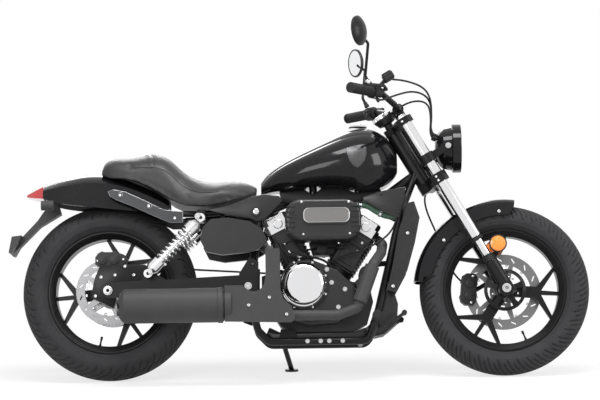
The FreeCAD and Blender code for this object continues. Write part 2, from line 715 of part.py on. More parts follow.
def frame():
    """Steering head, backbone, cradle under the engine, pivot plates and seat rails."""
    head_low, head_top = bike(-size.steer_back, 0, size.low_clamp + size.low_clamp_high + size.gap), bike(
        -size.steer_back, 0, size.top_clamp - size.gap)
    low = bike(-size.steer_back - 12, 0, size.low_clamp + size.low_clamp_high + 42)
    head = rod(tuple(head_low), tuple(head_top), size.head_r)
    bore = rod(tuple(head_low), tuple(head_top), size.stem_r + size.fit)
    rear = size.pivot_x
    plate_y = size.arm_y + size.arm_thick / 2 + 2
    backbone = tube([tuple(low), tuple(BACKBONE[1]), tuple(BACKBONE[0]), (570, 0, 600)], BACKBONE_R, 40)
    down = tube([(low.x, 12, low.z), (1030, 58, 585), (945, 92, 240), (905, 100, 124),
                 (560, 100, 124), (520, 108, 165), (rear + 20, plate_y + 4, 232)], 13, 30)
    rail = tube([(572, 0, 608), (556, 60, 606), (500, 100, 588), (330, 100, 576), (262, 108, 576)], 11, 25)
    upright = tube([(540, 96, 597), (530, 110, 540), (rear + 26, 116, 440), (rear + 20, plate_y + 3, 385)], 11, 25)
    plate = slab([(rear - 30, 300), (rear - 20, 210), (rear + 10, 198), (rear + 48, 215), (rear + 40, 300),
                  (rear + 42, 400), (rear + 10, 418), (rear - 26, 360)], plate_y, plate_y + 9)
    lug = block(313, 341, 92, size.shock_y - 14.5, 543, 588, 4)
    top_bolt = rod((size.shock_top_x, size.shock_y - 15, size.shock_top_z),
                   (size.shock_top_x, size.shock_y + 17, size.shock_top_z), 6)
    engine_tab = slab([(590, 124), (660, 124), (650, 168), (600, 168)], 84, 92)
    pivot = V(size.stand_x, size.stand_y, size.stand_z)
    stand_pin = fused([rod(tuple(pivot - STAND_AXIS * 20), tuple(pivot + STAND_AXIS * 16), size.stand_pin_r),
                       rod(tuple(pivot + STAND_AXIS * (13 + size.gap)), tuple(pivot + STAND_AXIS * 18), 11)])
    mounts = [rod((1000.4, 69.8, 465), (1034, 69.8, 465), 8), rod((1023.8, 60.5, 560), (1053.6, 60.5, 560), 8),
              rod((519, 113, 480), (519, 136 - size.gap, 480), 8), rod((400, 100, 577), (400, 128, 545), 7),
              rod((400, 124, 545), (400, 136 - size.gap, 545), 8)]
    half = [down, rail, upright, plate, lug, top_bolt, engine_tab] + mounts
    crosses = [rod((940, -92, 176), (940, 92, 176), 8), rod((880, -100, 124), (880, 100, 124), 11),
               rod((600, -96, 132), (600, 96, 132), 11),
               rod((rear, -plate_y, size.pivot_z), (rear, plate_y, size.pivot_z), 9.95)]
    shape = fused([head, backbone, stand_pin] + crosses + half + [mirrored(item) for item in half])
    feature("frame", shape.cut(bore))


def swingarm():
    """Two legs, tied by the pivot tube and a cross tube, with lugs for the shock absorbers."""
    body = new_body("swingarm")
    end = 27
    leg = pad(body, outline(body, "XZ_Plane", [
        (0, f"rear_tyre_r + {end}", end + 1), (0, f"rear_tyre_r - {end}"),
        ("pivot_x", f"pivot_z - {end}", end + 1), ("pivot_x", f"pivot_z + {end}"),
        ("shock_low_x + 60", "rear_tyre_r + 36"), ("shock_low_x + 18", "shock_low_z + 6"),
        ("shock_low_x + 10", "shock_low_z + 16"), ("shock_low_x - 10", "shock_low_z + 16"),
        ("shock_low_x - 26", "rear_tyre_r + 34")], "arm_y - arm_thick / 2"), "arm_thick")
    both_sides(body, leg)
    pad(body, circles(body, "XZ_Plane", [("pivot_x", "pivot_z", 22)]), "2 * arm_y", middle=True)
    pad(body, circles(body, "XZ_Plane", [(352, "rear_tyre_r + 16", 18)]), "2 * arm_y", middle=True)
    boss = pad(body, circles(body, "XZ_Plane", [("shock_low_x", "shock_low_z", 13)], "arm_y + arm_thick / 2"),
               "shock_y - 14 - gap - arm_y - arm_thick / 2")
    both_sides(body, boss)
    pin = pad(body, circles(body, "XZ_Plane", [("shock_low_x", "shock_low_z", 6)], "arm_y"), "shock_y + 17 - arm_y")
    both_sides(body, pin)
    pocket(body, circles(body, "XZ_Plane", [(0, "rear_tyre_r", "axle_r + fit")]), "4 * arm_y", middle=True)
    pocket(body, circles(body, "XZ_Plane", [("pivot_x", "pivot_z", 10)]), "4 * arm_y", middle=True)


SHOCK_TURN = rotation("0; 1; 0", "atan2(shock_top_x - shock_low_x; shock_top_z - shock_low_z)")
SHOCK_LONG = "sqrt((shock_top_x - shock_low_x) ^ 2 + (shock_top_z - shock_low_z) ^ 2)"
SHOCK_PLACE = placing("shock_low_x", 0, "shock_low_z", SHOCK_TURN)


def rear_shocks():
    """Damper with a lower cup, a rod and an upper cap, and an eye at each end."""
    body = new_body("rear_shocks", "bike", SHOCK_PLACE)
    unit = turn(body, outline(body, "XZ_Plane", [
        (0, 12), (20, 14), ("coil_r + 5", 24), ("coil_r + 5", 60), (14, 60), (14, 150), (6, 152),
        (6, f"{SHOCK_LONG} - 58"), ("coil_r + 5", f"{SHOCK_LONG} - 58"), ("coil_r + 5", f"{SHOCK_LONG} - 34"),
        (14, f"{SHOCK_LONG} - 20"), (0, f"{SHOCK_LONG} - 12")], "shock_y"))
    both_sides(body, unit)
    eyes = pad(body, circles(body, "XZ_Plane", [(0, 0, 15), (0, SHOCK_LONG, 15)], "shock_y"), 28, middle=True)
    both_sides(body, eyes)
    pocket(body, circles(body, "XZ_Plane", [(0, 0, "6 + fit"), (0, SHOCK_LONG, "6 + fit")]), "4 * shock_y",
           middle=True)


def shock_springs():
    """A round-wire coil spring on each damper, between its cup and cap."""
    helix = doc.addObject("Part::Helix", "SpringLine")
    foot = "60 + coil_wire + gap"
    helix.setExpression("Height", bound(f"{SHOCK_LONG} - 58 - coil_wire - gap - ({foot})"))
    helix.setExpression("Pitch", bound(f"({SHOCK_LONG} - 58 - coil_wire - gap - ({foot})) / coil_turns"))
    helix.setExpression("Radius", bound("coil_r"))
    helix.setExpression("Placement", bound(placing(0, "-shock_y", foot)))
    wire = doc.addObject("Part::Circle", "SpringWire")
    wire.setExpression("Radius", bound("coil_wire"))
    wire.setExpression("Placement", bound(placing("coil_r", "-shock_y", foot, rotation("1; 0; 0", 90))))
    coil = doc.addObject("Part::Sweep", "Spring")
    coil.Sections = [wire]
    coil.Spine = (helix, [])
    coil.Solid = True
    coil.Frenet = True
    twin = doc.addObject("Part::Mirroring", "OtherSpring")
    twin.Source = coil
    twin.Normal = Y_WAY
    both = doc.addObject("Part::Compound", "shock_springs")
    both.Links = [coil, twin]
    seat(both, "shock_springs", "bike", SHOCK_PLACE)


def drive_belt():
    """Flat loop round both pulleys, clear of the rear one by the seating gap."""
    back, front = V(0, size.pulley_y + 3, size.rear_tyre_r), V(size.drive_x, size.pulley_y + 3, size.drive_z)
    span = front - back

    def loop(extra):
        big, small = size.pulley_r + extra, size.drive_r + extra
        swing = math.acos((big - small) / span.Length)
        ahead = V(span).normalize()
        up = V(-ahead.z, 0, ahead.x)
        ways = [ahead * math.cos(swing) + up * math.sin(swing) * side for side in (1, -1)]
        ends = [back + ways[0] * big, front + ways[0] * small, front + ways[1] * small, back + ways[1] * big]
        return Part.Wire([
            Part.makeLine(ends[0], ends[1]), Part.Arc(ends[1], front + ahead * small, ends[2]).toShape(),
            Part.makeLine(ends[2], ends[3]), Part.Arc(ends[3], back - ahead * big, ends[0]).toShape()])
    outer, inner = (Part.Face(loop(extra)) for extra in (size.gap + size.belt_thick, size.gap))
    feature("drive_belt", outer.cut(inner).extrude(V(0, size.belt_wide - 1, 0)))


# ---------------------------------------------------------------- engine
def crankcase():
    """Case halves with the cylinder decks, the clutch side cover and the front pulley's shaft."""
    body = new_body("crankcase")

    def deck(bank, sign, reach):
        along_x = f"crank_x + {sign} * barrel_low * sin({bank}) + ({reach}) * cos({bank})"
        along_z = f"crank_z + barrel_low * cos({bank}) - {sign} * ({reach}) * sin({bank})"
        return along_x, along_z
    case = pad(body, outline(body, "XZ_Plane", [
        (555, 250), (600, 180), (650, 158), (850, 158), (905, 190), (925, 260), (910, 330),
        deck("front_bank", 1, 62), deck("front_bank", 1, -58), deck("rear_bank", -1, 55), deck("rear_bank", -1, -62),
        (560, 372)]), 160, middle=True)
    soften(body, case, 10, lambda edge: along(Y_WAY)(edge) and edge.CenterOfMass.z < 330)
    cover = pad(body, outline(body, "XZ_Plane", [
        (592, 250), (625, 200), (700, 178), (800, 185), (862, 240), (860, 310), (800, 372), (700, 412),
        (630, 395), (594, 340)], 79), 60)
    soften(body, cover, 9, lambda edge: edge.CenterOfMass.y < -138)
    pad(body, circles(body, "XZ_Plane", [("clutch_x", "clutch_z", "clutch_r + 8")], 138), 10)
    pad(body, circles(body, "XZ_Plane", [("drive_x", "drive_z", "drive_r")], -79), "pulley_y + 27 - 79", back=True)


def clutch_cover():
    """Domed chrome cap over the clutch."""
    body = new_body("clutch_cover", "bike", placing("clutch_x", -148, "clutch_z"))
    turn(body, outline(body, "XY_Plane", [
        (0, -38), ("clutch_r - 22", -36, 30), ("clutch_r", -20), ("clutch_r", "-gap"), (0, "-gap")]))


def pulley_cover():
    """Left-hand engine cover, over the generator and the front pulley."""
    body = new_body("pulley_cover")
    cover = pad(body, outline(body, "XZ_Plane", [
        (532, 372), (532, 300), (575, 272), (640, 205), (720, 172), (800, 185), (852, 240), (850, 300),
        (790, 350), (700, 372), (600, 396)], -116), 34, back=True)
    soften(body, cover, 10, lambda edge: edge.CenterOfMass.y > 148)
    pad(body, circles(body, "XZ_Plane", [("crank_x + 15", "crank_z", 70)], -116), "36 - gap")
    pad(body, circles(body, "XZ_Plane", [("crank_x + 15", "crank_z", 62)], -149), 10, back=True)


def plate(body, half_x, half_y, low, high):
    """A fin or a block square to the cylinder, with its corners cut off."""
    cut = 14
    return pad(body, outline(body, "XY_Plane", [
        (f"-({half_x})", cut - half_y), (f"{cut} - ({half_x})", -half_y), (f"{half_x} - {cut}", -half_y),
        (half_x, cut - half_y), (half_x, half_y - cut), (f"{half_x} - {cut}", half_y),
        (f"{cut} - ({half_x})", half_y), (f"-({half_x})", half_y - cut)], low), high)


def cylinder(label, bank):
    """Finned barrel with a smooth side cover on the right."""
    body = new_body(label, "bike", placing("crank_x", 0, "crank_z", rotation("0; 1; 0", bank)))
    pad(body, circles(body, "XY_Plane", [(0, 0, 50)], "barrel_low + gap"), "barrel_top - barrel_low - gap")
    for step in range(10):
        plate(body, 54, 62, f"barrel_low + 22 + {step} * 13", 4.5)
    pad(body, outline(body, "XY_Plane", [
        (-46, -62), (-40, -74), (40, -74), (46, -62), (46, -40), (-46, -40)], "barrel_low + 30"),
        "barrel_top - barrel_low - 34")
    rib = pad(body, outline(body, "XZ_Plane", [
        (-30, "barrel_low + 42"), (34, "barrel_low + 42"), (-30, "barrel_top - 60")], 66), 12)
    soften(body, rib, 3, lambda edge: edge.CenterOfMass.y < -77)
    panel = pad(body, outline(body, "XZ_Plane", [
        (-32, "barrel_top - 52"), (32, "barrel_top - 52"), (36, "barrel_top - 14"), (-36, "barrel_top - 14")], 66), 13)
    soften(body, panel, 3, lambda edge: edge.CenterOfMass.y < -78)


def head(label, bank):
    """Cylinder head under its rocker cover."""
    body = new_body(label, "bike", placing("crank_x", 0, "crank_z", rotation("0; 1; 0", bank)))
    block_high = "head_top - barrel_top - 26 - gap"
    plate(body, "head_half", 66, "barrel_top + gap", block_high)
    top = plate(body, "head_half - 7", 58, "head_top - 26", 26)
    soften(body, top, 8, lambda edge: edge.CenterOfMass.z > size.head_top - 1)
    boss = pad(body, circles(body, "XZ_Plane", [(0, "port", 17)], 60), 14)
    soften(body, boss, 3, lambda edge: edge.CenterOfMass.y < -73)


def port(bank, out, low=0.0):
    """A point off the port of the cylinder that leans forward by bank.  out: distance ahead of
    the cylinder's axis; low: distance below the port."""
    lean = math.radians(bank)
    up, ahead = V(math.sin(lean), 0, math.cos(lean)), V(math.cos(lean), 0, -math.sin(lean))
    return V(size.crank_x, 0, size.crank_z) + up * (size.port - low) + ahead * out


THROTTLE = V(752, 0, 543)
THROTTLE_R = 27


def air_cleaner():
    """Oval filter box on the right, ribbed at its ends, with the throttle body behind it."""
    left, right, low, top, bend = 620, 886, 470, 616, 58
    body = new_body("air_cleaner")
    box = pad(body, outline(body, "XZ_Plane", [
        (left, low + bend, bend), (left + bend, low), (right - bend, low, bend), (right, low + bend),
        (right, top - bend, bend), (right - bend, top), (left + bend, top, bend), (left, top - bend)], 98), 92)
    soften(body, box, 14, lambda edge: edge.CenterOfMass.y < -189)
    pad(body, outline(body, "XZ_Plane", [
        (706, 575, 25.2), (706, 525), (824, 525, 25.2), (824, 575)], 188), 8)
    for start, end in ((642, 676), (854, 888)):
        for step in range(4):
            foot = low + 50 + 13 * step
            pad(body, outline(body, "XZ_Plane", [
                (start, foot), (end - 14, foot), (end - 14, foot + 5), (start, foot + 5)], 186), 6)
    pad(body, circles(body, "XZ_Plane", [(THROTTLE.x, THROTTLE.z, THROTTLE_R)]), 99)


def inlet_pipes():
    """Forked pipe from the throttle body to the two heads."""
    reach = size.head_half + size.gap
    end = THROTTLE + V(0, 20, 0)
    rear = [port(-size.rear_bank, reach), port(-size.rear_bank, reach + 26), end]
    front = [port(size.front_bank, -reach), port(size.front_bank, -reach - 26), end]
    arms = [tube([tuple(spot) for spot in way], 16, 20) for way in (rear, front)]
    plenum = rod(tuple(THROTTLE + V(0, size.gap, 0)), tuple(THROTTLE + V(0, 40, 0)), THROTTLE_R + 4)
    body = rod(tuple(THROTTLE - V(0, 60, 0)), tuple(THROTTLE + V(0, size.gap, 0)), THROTTLE_R + size.gap)
    feature("inlet_pipes", fused(arms + [plenum]).cut(body))


def silencer():
    """Blunt can with a bevelled tail and a recessed outlet."""
    body = new_body("silencer", "bike", placing(46, "-silencer_y", "silencer_z"))
    turn(body, outline(body, "XZ_Plane", [
        (0, 28), (0, "silencer_r - 16"), (16, "silencer_r"), (352, "silencer_r"), (362, "silencer_r - 6"),
        (362, 0), (24, 0), (24, 28)][::-1]), "H_Axis")


def exhaust_pipes():
    """Both header pipes with their shields, and the ribbed heat shield over the collector."""
    y, z = -size.silencer_y, size.silencer_z
    reach = size.head_half + size.gap
    port_low = 12
    front = tube([
        tuple(port(size.front_bank, reach, port_low)), tuple(port(size.front_bank, reach + 26, port_low)),
        (955, -110, 430), (925, -172, 385), (868, -188, 232), (800, -190, 208), (600, -196, 208),
        (500, y + 12, 232), (410, y + 8, z - 12)], 18, 24)
    back = tube([
        tuple(port(-size.rear_bank, -reach, port_low)), tuple(port(-size.rear_bank, -reach - 26, port_low)),
        (548, -98, 452), (577, -188, 425), (577, -188, 300), (500, y + 10, z + 22), (410, y + 4, z + 20)], 18, 24)
    sleeves = [rod((577, -188, 300), (577, -188, 432), 25), rod((876, -188, 253), (922, -173, 378), 25)]
    shield = slab([(410, 186), (640, 180), (652, 196), (640, 236), (612, 262), (601, 300), (601, 436), (552, 436),
                   (552, 340), (545, 312, 520, 290), (480, 304), (470, 310), (410, 310)], y - 44, y - 34)
    ring = rod((410, y, z), (432, y, z), size.silencer_r - 2)
    bridge = [rod((x, y - 36, zz), (x, -190, zz), 7) for x, zz in ((455, 225), (577, 300), (620, 212))]
    feature("exhaust_pipes", fused([front, back, shield, ring] + sleeves + bridge))


# ---------------------------------------------------------------- bodywork
def fuel_tank():
    """Teardrop tank, flat underneath, hollowed at the nose for the steering head."""
    sections = (  # along, foot half width, underside, greatest half width, its height, crown half width, its height, top
        (536, 22, 651, 34, 668, 20, 682, 693),
        (610, 52, 660, 84, 702, 50, 745, 763),
        (710, 80, 669, 122, 724, 72, 792, 815),
        (810, 94, 670, 140, 740, 84, 832, 860),
        (900, 88, 657, 138, 742, 84, 850, 882),
        (965, 60, 668, 104, 745, 62, 838, 862),
        (1018, 32, 720, 52, 748, 30, 782, 796))
    shape = loft([drop(*row) for row in sections])
    head = bike(-size.steer_back, 0, 500), bike(-size.steer_back, 0, 720)
    lugs = [rod((x, 0, BACKBONE[0].z + 4), (x, 0, 690), 14) for x in (720, 880)]
    rail = rod(*BACKBONE, BACKBONE_R + size.gap)
    shape = fused([shape] + lugs)
    feature("fuel_tank", shape.cut(rail).cut(rod(tuple(head[0]), tuple(head[1]), size.head_r + 8)))


def tank_cap():
    body = new_body("tank_cap", "bike", placing(880, 0, 874))
    turn(body, outline(body, "XZ_Plane", [(0, 9), (32, 9), (36, 14), (30, 22), (0, 24)]))


def saddle():
    """Rider's scoop and pillion pad in one, lying on the fender and the seat rails."""
    sections = (  # along, half width, underside at the side, underside in the middle, side height, top
        (-30, 66, 721, 722, 742, 752),
        (30, 100, 702, 714, 752, 784),
        (120, 116, 682, 686, 748, 791),
        (205, 124, 632, 640, 726, 783),
        (250, 134, 606, 625, 680, 742),
        (320, 148, 596, 600, 655, 700),
        (400, 146, 606, 606, 660, 694),
        (470, 112, 626, 626, 668, 698),
        (522, 62, 646, 646, 668, 684))

    def section(x, half, low, middle, side, top):
        under = (Part.Arc(V(x, -half + 8, low), V(x, 0, middle), V(x, half - 8, low)).toShape()
                 if middle > low else Part.makeLine(V(x, -half + 8, low), V(x, half - 8, low)))
        rim = [Part.Arc(V(x, sign * (half - 8), low), V(x, sign * half, (low + side) / 2),
                        V(x, sign * (half - 14), side)).toShape() for sign in (1, -1)]
        crown = Part.Arc(V(x, half - 14, side), V(x, 0, top), V(x, 14 - half, side)).toShape()
        return Part.Wire([under, rim[0], crown, rim[1]])
    feature("seat", loft([section(*row) for row in sections]).cut(fender_skin(size.gap, 0, 20)))


FENDER = (  # along, half width at the foot, top, shoulder height, foot height, half width of the crown
    (-232, 74, 690, 670, 642, 66),
    (-150, 92, 717, 686, 618, 80),
    (-50, 98, 730, 694, 606, 86),
    (60, 98, 711, 676, 594, 86),
    (140, 98, 678, 645, 586, 86),
    (214, 98, 634, 608, 574, 86))


def fender_skin(extra, longer=0.0, deeper=0.0):
    """The fender's outer form, grown by extra; longer moves its ends and deeper its foot."""
    sections = []
    for i, (x, half, top, shoulder, low, crown) in enumerate(FENDER):
        end = -longer if i == 0 else longer if i == len(FENDER) - 1 else 0.0
        flare = (half - crown) * deeper / (shoulder - low)
        sections.append(arch(x + end, half + flare + extra, top + extra, shoulder + extra, low - deeper,
                             crown + extra))
    return loft(sections)


FENDER_WALL = 6


def rear_fender():
    """Deep arched fender, hollow underneath."""
    feature("rear_fender", fender_skin(0).cut(fender_skin(-FENDER_WALL, 4, 2)))


def fender_struts():
    """Flat stays that carry the fender from the seat rails."""
    outer = slab([(1, 659), (8, 642), (27, 630), (94, 602), (161, 570), (217, 546), (262, 546), (262, 584),
                  (196, 590), (128, 625), (61, 656), (20, 664)], 112, 119)
    bolts = [rod((x, 60, z), (x, 122, z), 8) for x, z in ((44, 646), (146, 605))]
    feature("fender_struts", pair(fused([outer] + bolts).cut(fender_skin(size.gap, 0, 20))))


def tail_light():
    """Wedge lamp that carries the fender's line back to a point."""
    sections = ((-232.3, 66, 642, 686), (-262, 52, 646, 673), (-292, 30, 652, 660))
    wires = [Part.makePolygon([V(x, -half, low), V(x, half, low), V(x, half * 0.8, top), V(x, -half * 0.8, top),
                               V(x, -half, low)]) for x, half, low, top in sections]
    feature("tail_light", loft(wires, True))


def plate_bracket():
    """Number plate arm under the lamp, with two bolt holes, a lamp hood and small indicators."""
    arm = slab([(-184, 634), (-172, 592), (-246, 548), (-345, 449), (-352, 455), (-341, 505), (-307, 514),
                (-254, 570), (-214, 628)], -26, 26)
    wings = slab([(-307, 512), (-341, 508), (-352, 452), (-343, 449)], -85, 85)
    lamps = []
    for side in (1, -1):
        lamps += [rod((-205, side * 20, 612), (-212, side * 110, 612), 6),
                  rod((-190, side * 118, 612), (-234, side * 118, 612), 17)]
    holes = [rod((-400, side * 75, 500), (-280, side * 75, 462), 3.5) for side in (1, -1)]
    stem = slab([(-214, 610), (-214, 720), (-182, 720), (-182, 610)], -26, 26)
    stem = stem.common(fender_skin(-FENDER_WALL - size.gap, 4, 40))
    shape = fused([arm, stem, wings] + lamps)
    for hole in holes:
        shape = shape.cut(hole)
    feature("plate_bracket", shape)


def side_covers():
    """Smooth battery covers under the seat, one each side."""
    body = new_body("side_covers")
    cover = pad(body, outline(body, "XZ_Plane", [
        (334, 524), (324, 478), (344, 438), (400, 426), (510, 436), (540, 452), (556, 480), (536, 518),
        (495, 543), (422, 556), (362, 552)], 136), 26)
    both_sides(body, cover)


def radiator():
    body = new_body("radiator")
    pad(body, outline(body, "XZ_Plane", [
        (1056, 596), (1078, 586), (1076, 545), (1060, 465), (1034, 372), (1012, 326), (990, 334),
        (1012, 380), (1038, 470), (1054, 550)]), "2 * (94 - gap)", middle=True)


def radiator_shroud():
    """Side panels of the radiator and the pan under the frame's front."""
    body = new_body("radiator_shroud")
    side = pad(body, outline(body, "XZ_Plane", [
        (1073, 610), (1048, 604), (1036, 560), (1018, 510), (996, 394), (974, 300), (1003, 290), (1046, 368),
        (1074, 465), (1092, 553)], 94), 16)
    both_sides(body, side)
    pad(body, outline(body, "XZ_Plane", [
        (1003, 215), (1009, 187), (961, 147), (920, 139), (934, 160), (968, 190), (975, 222)]), 150, middle=True)


def foot_controls():
    """Rider's pegs on their hangers, brake pedal and gear lever."""
    hanger = tube([(915, 100, 138), (930, 150, 170), (935, 165, 200)], 9, 20)
    peg = rod((935, 158, 204), (935, 262, 204), 14)
    lever = tube([(935, 150, 190), (965, 150, 160), (1010, 155, 200), (1030, 160, 214)], 6, 15)
    toe = rod((1030, 150, 214), (1030, 200, 214), 9)
    rail = rod((905, 100, 124), (945, 92, 240), 13 + size.gap)
    feature("foot_controls", pair(fused([hanger, peg, lever, toe]).cut(rail)))


def rear_caliper():
    """Caliper over the top of the disc, on a plate held by the axle."""
    face = size.rear_disc_y
    axle_z = size.rear_tyre_r
    body = block(-30, 48, -face - 26, -face + 22, axle_z + 86, axle_z + 148, 6)
    slot = Part.makeCylinder(size.rear_disc_r + 6, size.disc_thick + 10, V(0, -face - size.disc_thick - 5, axle_z),
                             Y_WAY)
    plate = slab([(-22, axle_z), (-30, axle_z + 90), (44, axle_z + 90), (24, axle_z), (20, axle_z - 22),
                  (-18, axle_z - 22)], -face - 26, -face - 14)
    hole = rod((0, -face - 40, axle_z), (0, -face, axle_z), size.axle_r + size.fit)
    feature("rear_caliper", body.cut(slot).fuse(plate).cut(hole))


def front_caliper():
    """Caliper behind the left foot, straddling the disc."""
    face = size.front_disc_y
    side = size.leg_half
    body = block(-142, -80, face - 28, face + 30, 48, 110, 6)
    slot = Part.makeCylinder(size.front_disc_r + 6, size.disc_thick + 10, V(0, face - 5, 0), Y_WAY)
    arms = [rod((-100, size.leg_half - 14, high), (-16, size.leg_half - 4, high), 8) for high in (58, 100)]
    leg = rod((size.leg_lead, side, -26), (size.leg_lead, side, size.foot_top), 24 + size.gap)
    feature("front_caliper", body.cut(slot).fuse(arms).cut(leg), "fork")


def front_reflectors():
    """Round amber lamps on brackets from the legs."""
    side = (size.leg_half - size.fender_inset) + 2 * size.gap + 6
    stay = slab([(4, 136), (60, 130), (66, 168), (8, 166)], side, side + 4)
    lamp = rod((59, side + 4, 150), (59, side + 30, 150), 29)
    feature("front_reflectors", pair(stay.fuse(lamp)), "fork")


def on_lamp(angle, off):
    """A point of the fork's frame off the back of the headlamp's bucket, at an angle from its top."""
    out, ahead, radius = 0.423, -0.906, 45.5
    across, upright = math.sin(math.radians(angle)), math.cos(math.radians(angle))
    x = -size.lamp_back - 81.5 + ahead * off
    y, z = (radius + out * off) * across, size.lamp_up + (radius + out * off) * upright
    lean_back = math.radians(size.rake)
    return (x * math.cos(lean_back) + z * math.sin(lean_back), y,
            z * math.cos(lean_back) - x * math.sin(lean_back))


def control_cables():
    """A cable from each switch box and the brake's hose, all into the back of the headlamp."""
    inner, end = V(*BAR[2]), V(*BAR[3])
    way = (end - inner).normalize()
    down = (V(0, 0, -1) + way * way.z).normalize()
    start = inner + way * 42 + down * (24 + size.gap)
    left = [tuple(start), tuple(start + down * 22), (30, 190, 752), (84, 62, 668), on_lamp(40, 32),
            on_lamp(40, size.gap)]
    right = [(x, -y, z) for x, y, z in left[:-2]] + [on_lamp(-12, 32), on_lamp(-12, size.gap)]
    hose = [(24, size.gap - 214, 836), (24, -190, 836), (88, -110, 724), on_lamp(-46, 40), on_lamp(-46, size.gap)]
    feature("control_cables", Part.makeCompound([tube(route, 3.5, 12) for route in (left, right, hose)]), "fork")


def side_stand():
    """Leg on its pivot with a floor pad that lies flat on the ground when the machine leans."""
    lean_over = math.radians(size.lean)
    up = V(0, -math.sin(lean_over), math.cos(lean_over))
    lift = size.crown * (1 - math.cos(lean_over))
    y = size.stand_foot_y
    foot = V(size.stand_foot_x, y, (y * math.sin(lean_over) - lift) / math.cos(lean_over))
    pivot = V(size.stand_x, size.stand_y, size.stand_z)
    pad_shape = Part.makeCylinder(24, 7, foot, up)
    leg = rod(tuple(pivot), tuple(foot + up * 6), 9)
    eye = Part.makeCylinder(16, 22, pivot - STAND_AXIS * 9, STAND_AXIS)
    bore = Part.makeCylinder(size.stand_pin_r + size.fit, 40, pivot - STAND_AXIS * 20, STAND_AXIS)
    feature("side_stand", fused([pad_shape, leg, eye]).cut(bore))


frame()
swingarm()
rear_shocks()
shock_springs()
drive_belt()
crankcase()
clutch_cover()
pulley_cover()
cylinder("cylinder_front", "front_bank")
cylinder("cylinder_rear", "-rear_bank")
head("head_front", "front_bank")
head("head_rear", "-rear_bank")
air_cleaner()
inlet_pipes()
silencer()
exhaust_pipes()
fuel_tank()
tank_cap()
saddle()
rear_fender()
fender_struts()
tail_light()
plate_bracket()
side_covers()
radiator()
radiator_shroud()
foot_controls()
rear_caliper()
front_caliper()
front_reflectors()
control_cables()
side_stand()


# ---------------------------------------------------------------- writing
def check_and_write():
    doc.recompute()
    faults = [item.Name for item in doc.Objects if {"Invalid", "Error"} & set(item.State)]
    for piece in pieces:
        if piece.Shape.isNull() or not piece.Shape.isValid() or not piece.Shape.Solids:
            faults.append(piece.Label)
    if faults:
        raise RuntimeError("failed objects: " + ", ".join(faults))
    os.makedirs("parts", exist_ok=True)
    for piece in pieces:
        piece.Shape.exportStep(f"parts/{piece.Label}.step")


check_and_write()
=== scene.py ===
"""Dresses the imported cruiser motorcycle: paint, chrome, tread, saddle, lamps and fastenings.

Lengths are in metres.  Most places are given in the upright machine's frame, with X forward
from the rear axle, Y to the left and Z up from the floor.  UPRIGHT takes them to the parked,
leaning machine, and FORK does the same for places along the front fork.
"""

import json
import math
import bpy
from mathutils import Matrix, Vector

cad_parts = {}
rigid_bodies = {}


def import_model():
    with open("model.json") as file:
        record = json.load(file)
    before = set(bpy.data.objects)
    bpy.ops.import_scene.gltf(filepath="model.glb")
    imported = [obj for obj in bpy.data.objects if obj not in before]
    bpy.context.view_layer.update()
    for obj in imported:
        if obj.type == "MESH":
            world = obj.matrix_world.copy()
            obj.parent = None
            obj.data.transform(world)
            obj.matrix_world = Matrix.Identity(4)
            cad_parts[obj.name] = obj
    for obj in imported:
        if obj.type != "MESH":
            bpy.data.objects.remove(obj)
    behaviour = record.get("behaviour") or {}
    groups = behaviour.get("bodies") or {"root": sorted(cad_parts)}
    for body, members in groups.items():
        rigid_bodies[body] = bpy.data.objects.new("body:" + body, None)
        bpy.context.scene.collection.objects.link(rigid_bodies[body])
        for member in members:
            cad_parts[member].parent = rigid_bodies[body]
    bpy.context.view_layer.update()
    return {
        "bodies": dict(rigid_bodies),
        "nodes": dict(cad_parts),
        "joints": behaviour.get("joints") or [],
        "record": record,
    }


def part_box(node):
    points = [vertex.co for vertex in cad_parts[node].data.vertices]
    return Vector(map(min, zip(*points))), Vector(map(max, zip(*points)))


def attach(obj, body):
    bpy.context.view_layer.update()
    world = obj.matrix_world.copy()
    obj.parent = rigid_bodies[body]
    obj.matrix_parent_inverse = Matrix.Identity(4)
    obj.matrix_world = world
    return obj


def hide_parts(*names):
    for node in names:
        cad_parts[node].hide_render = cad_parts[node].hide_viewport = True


bl_info = {
    "name": "Cruiser Motorcycle Dressing",
    "version": (1, 0, 0),
    "blender": (4, 5, 0),
    "location": "3D View > Sidebar > Cruiser",
    "description": "Finishes, tread, saddle, lamps and fastenings of the packed motorcycle",
    "category": "Object",
}

import bpy
import bmesh
import numpy as np
from bpy.props import FloatProperty, FloatVectorProperty, IntProperty, PointerProperty
from mathutils import Matrix, Vector
from mathutils.bvhtree import BVHTree

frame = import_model()
NODES = frame["nodes"]
JOINTS = {joint["name"]: joint for joint in frame["joints"]}


# ---------------------------------------------------------------- the machine's frames
REAR_RADIUS, FRONT_RADIUS = 0.3082, 0.2992        # the tyres' outer radii
FORK_LEAN = math.radians(30.5)
REAR_AXLE = Vector(JOINTS["rear_wheel_spin"]["pos_m"])
FRONT_AXLE = Vector(JOINTS["front_wheel_spin"]["pos_m"])
ACROSS = Vector(JOINTS["rear_wheel_spin"]["axis"]).normalized()
ALONG_FORK = Vector(JOINTS["steering_turn"]["axis"]).normalized()


def axes(forward, left, up, origin):
    """The matrix whose columns are three directions and an origin."""
    turn = Matrix((forward, left, up)).transposed().to_4x4()
    return Matrix.Translation(origin) @ turn


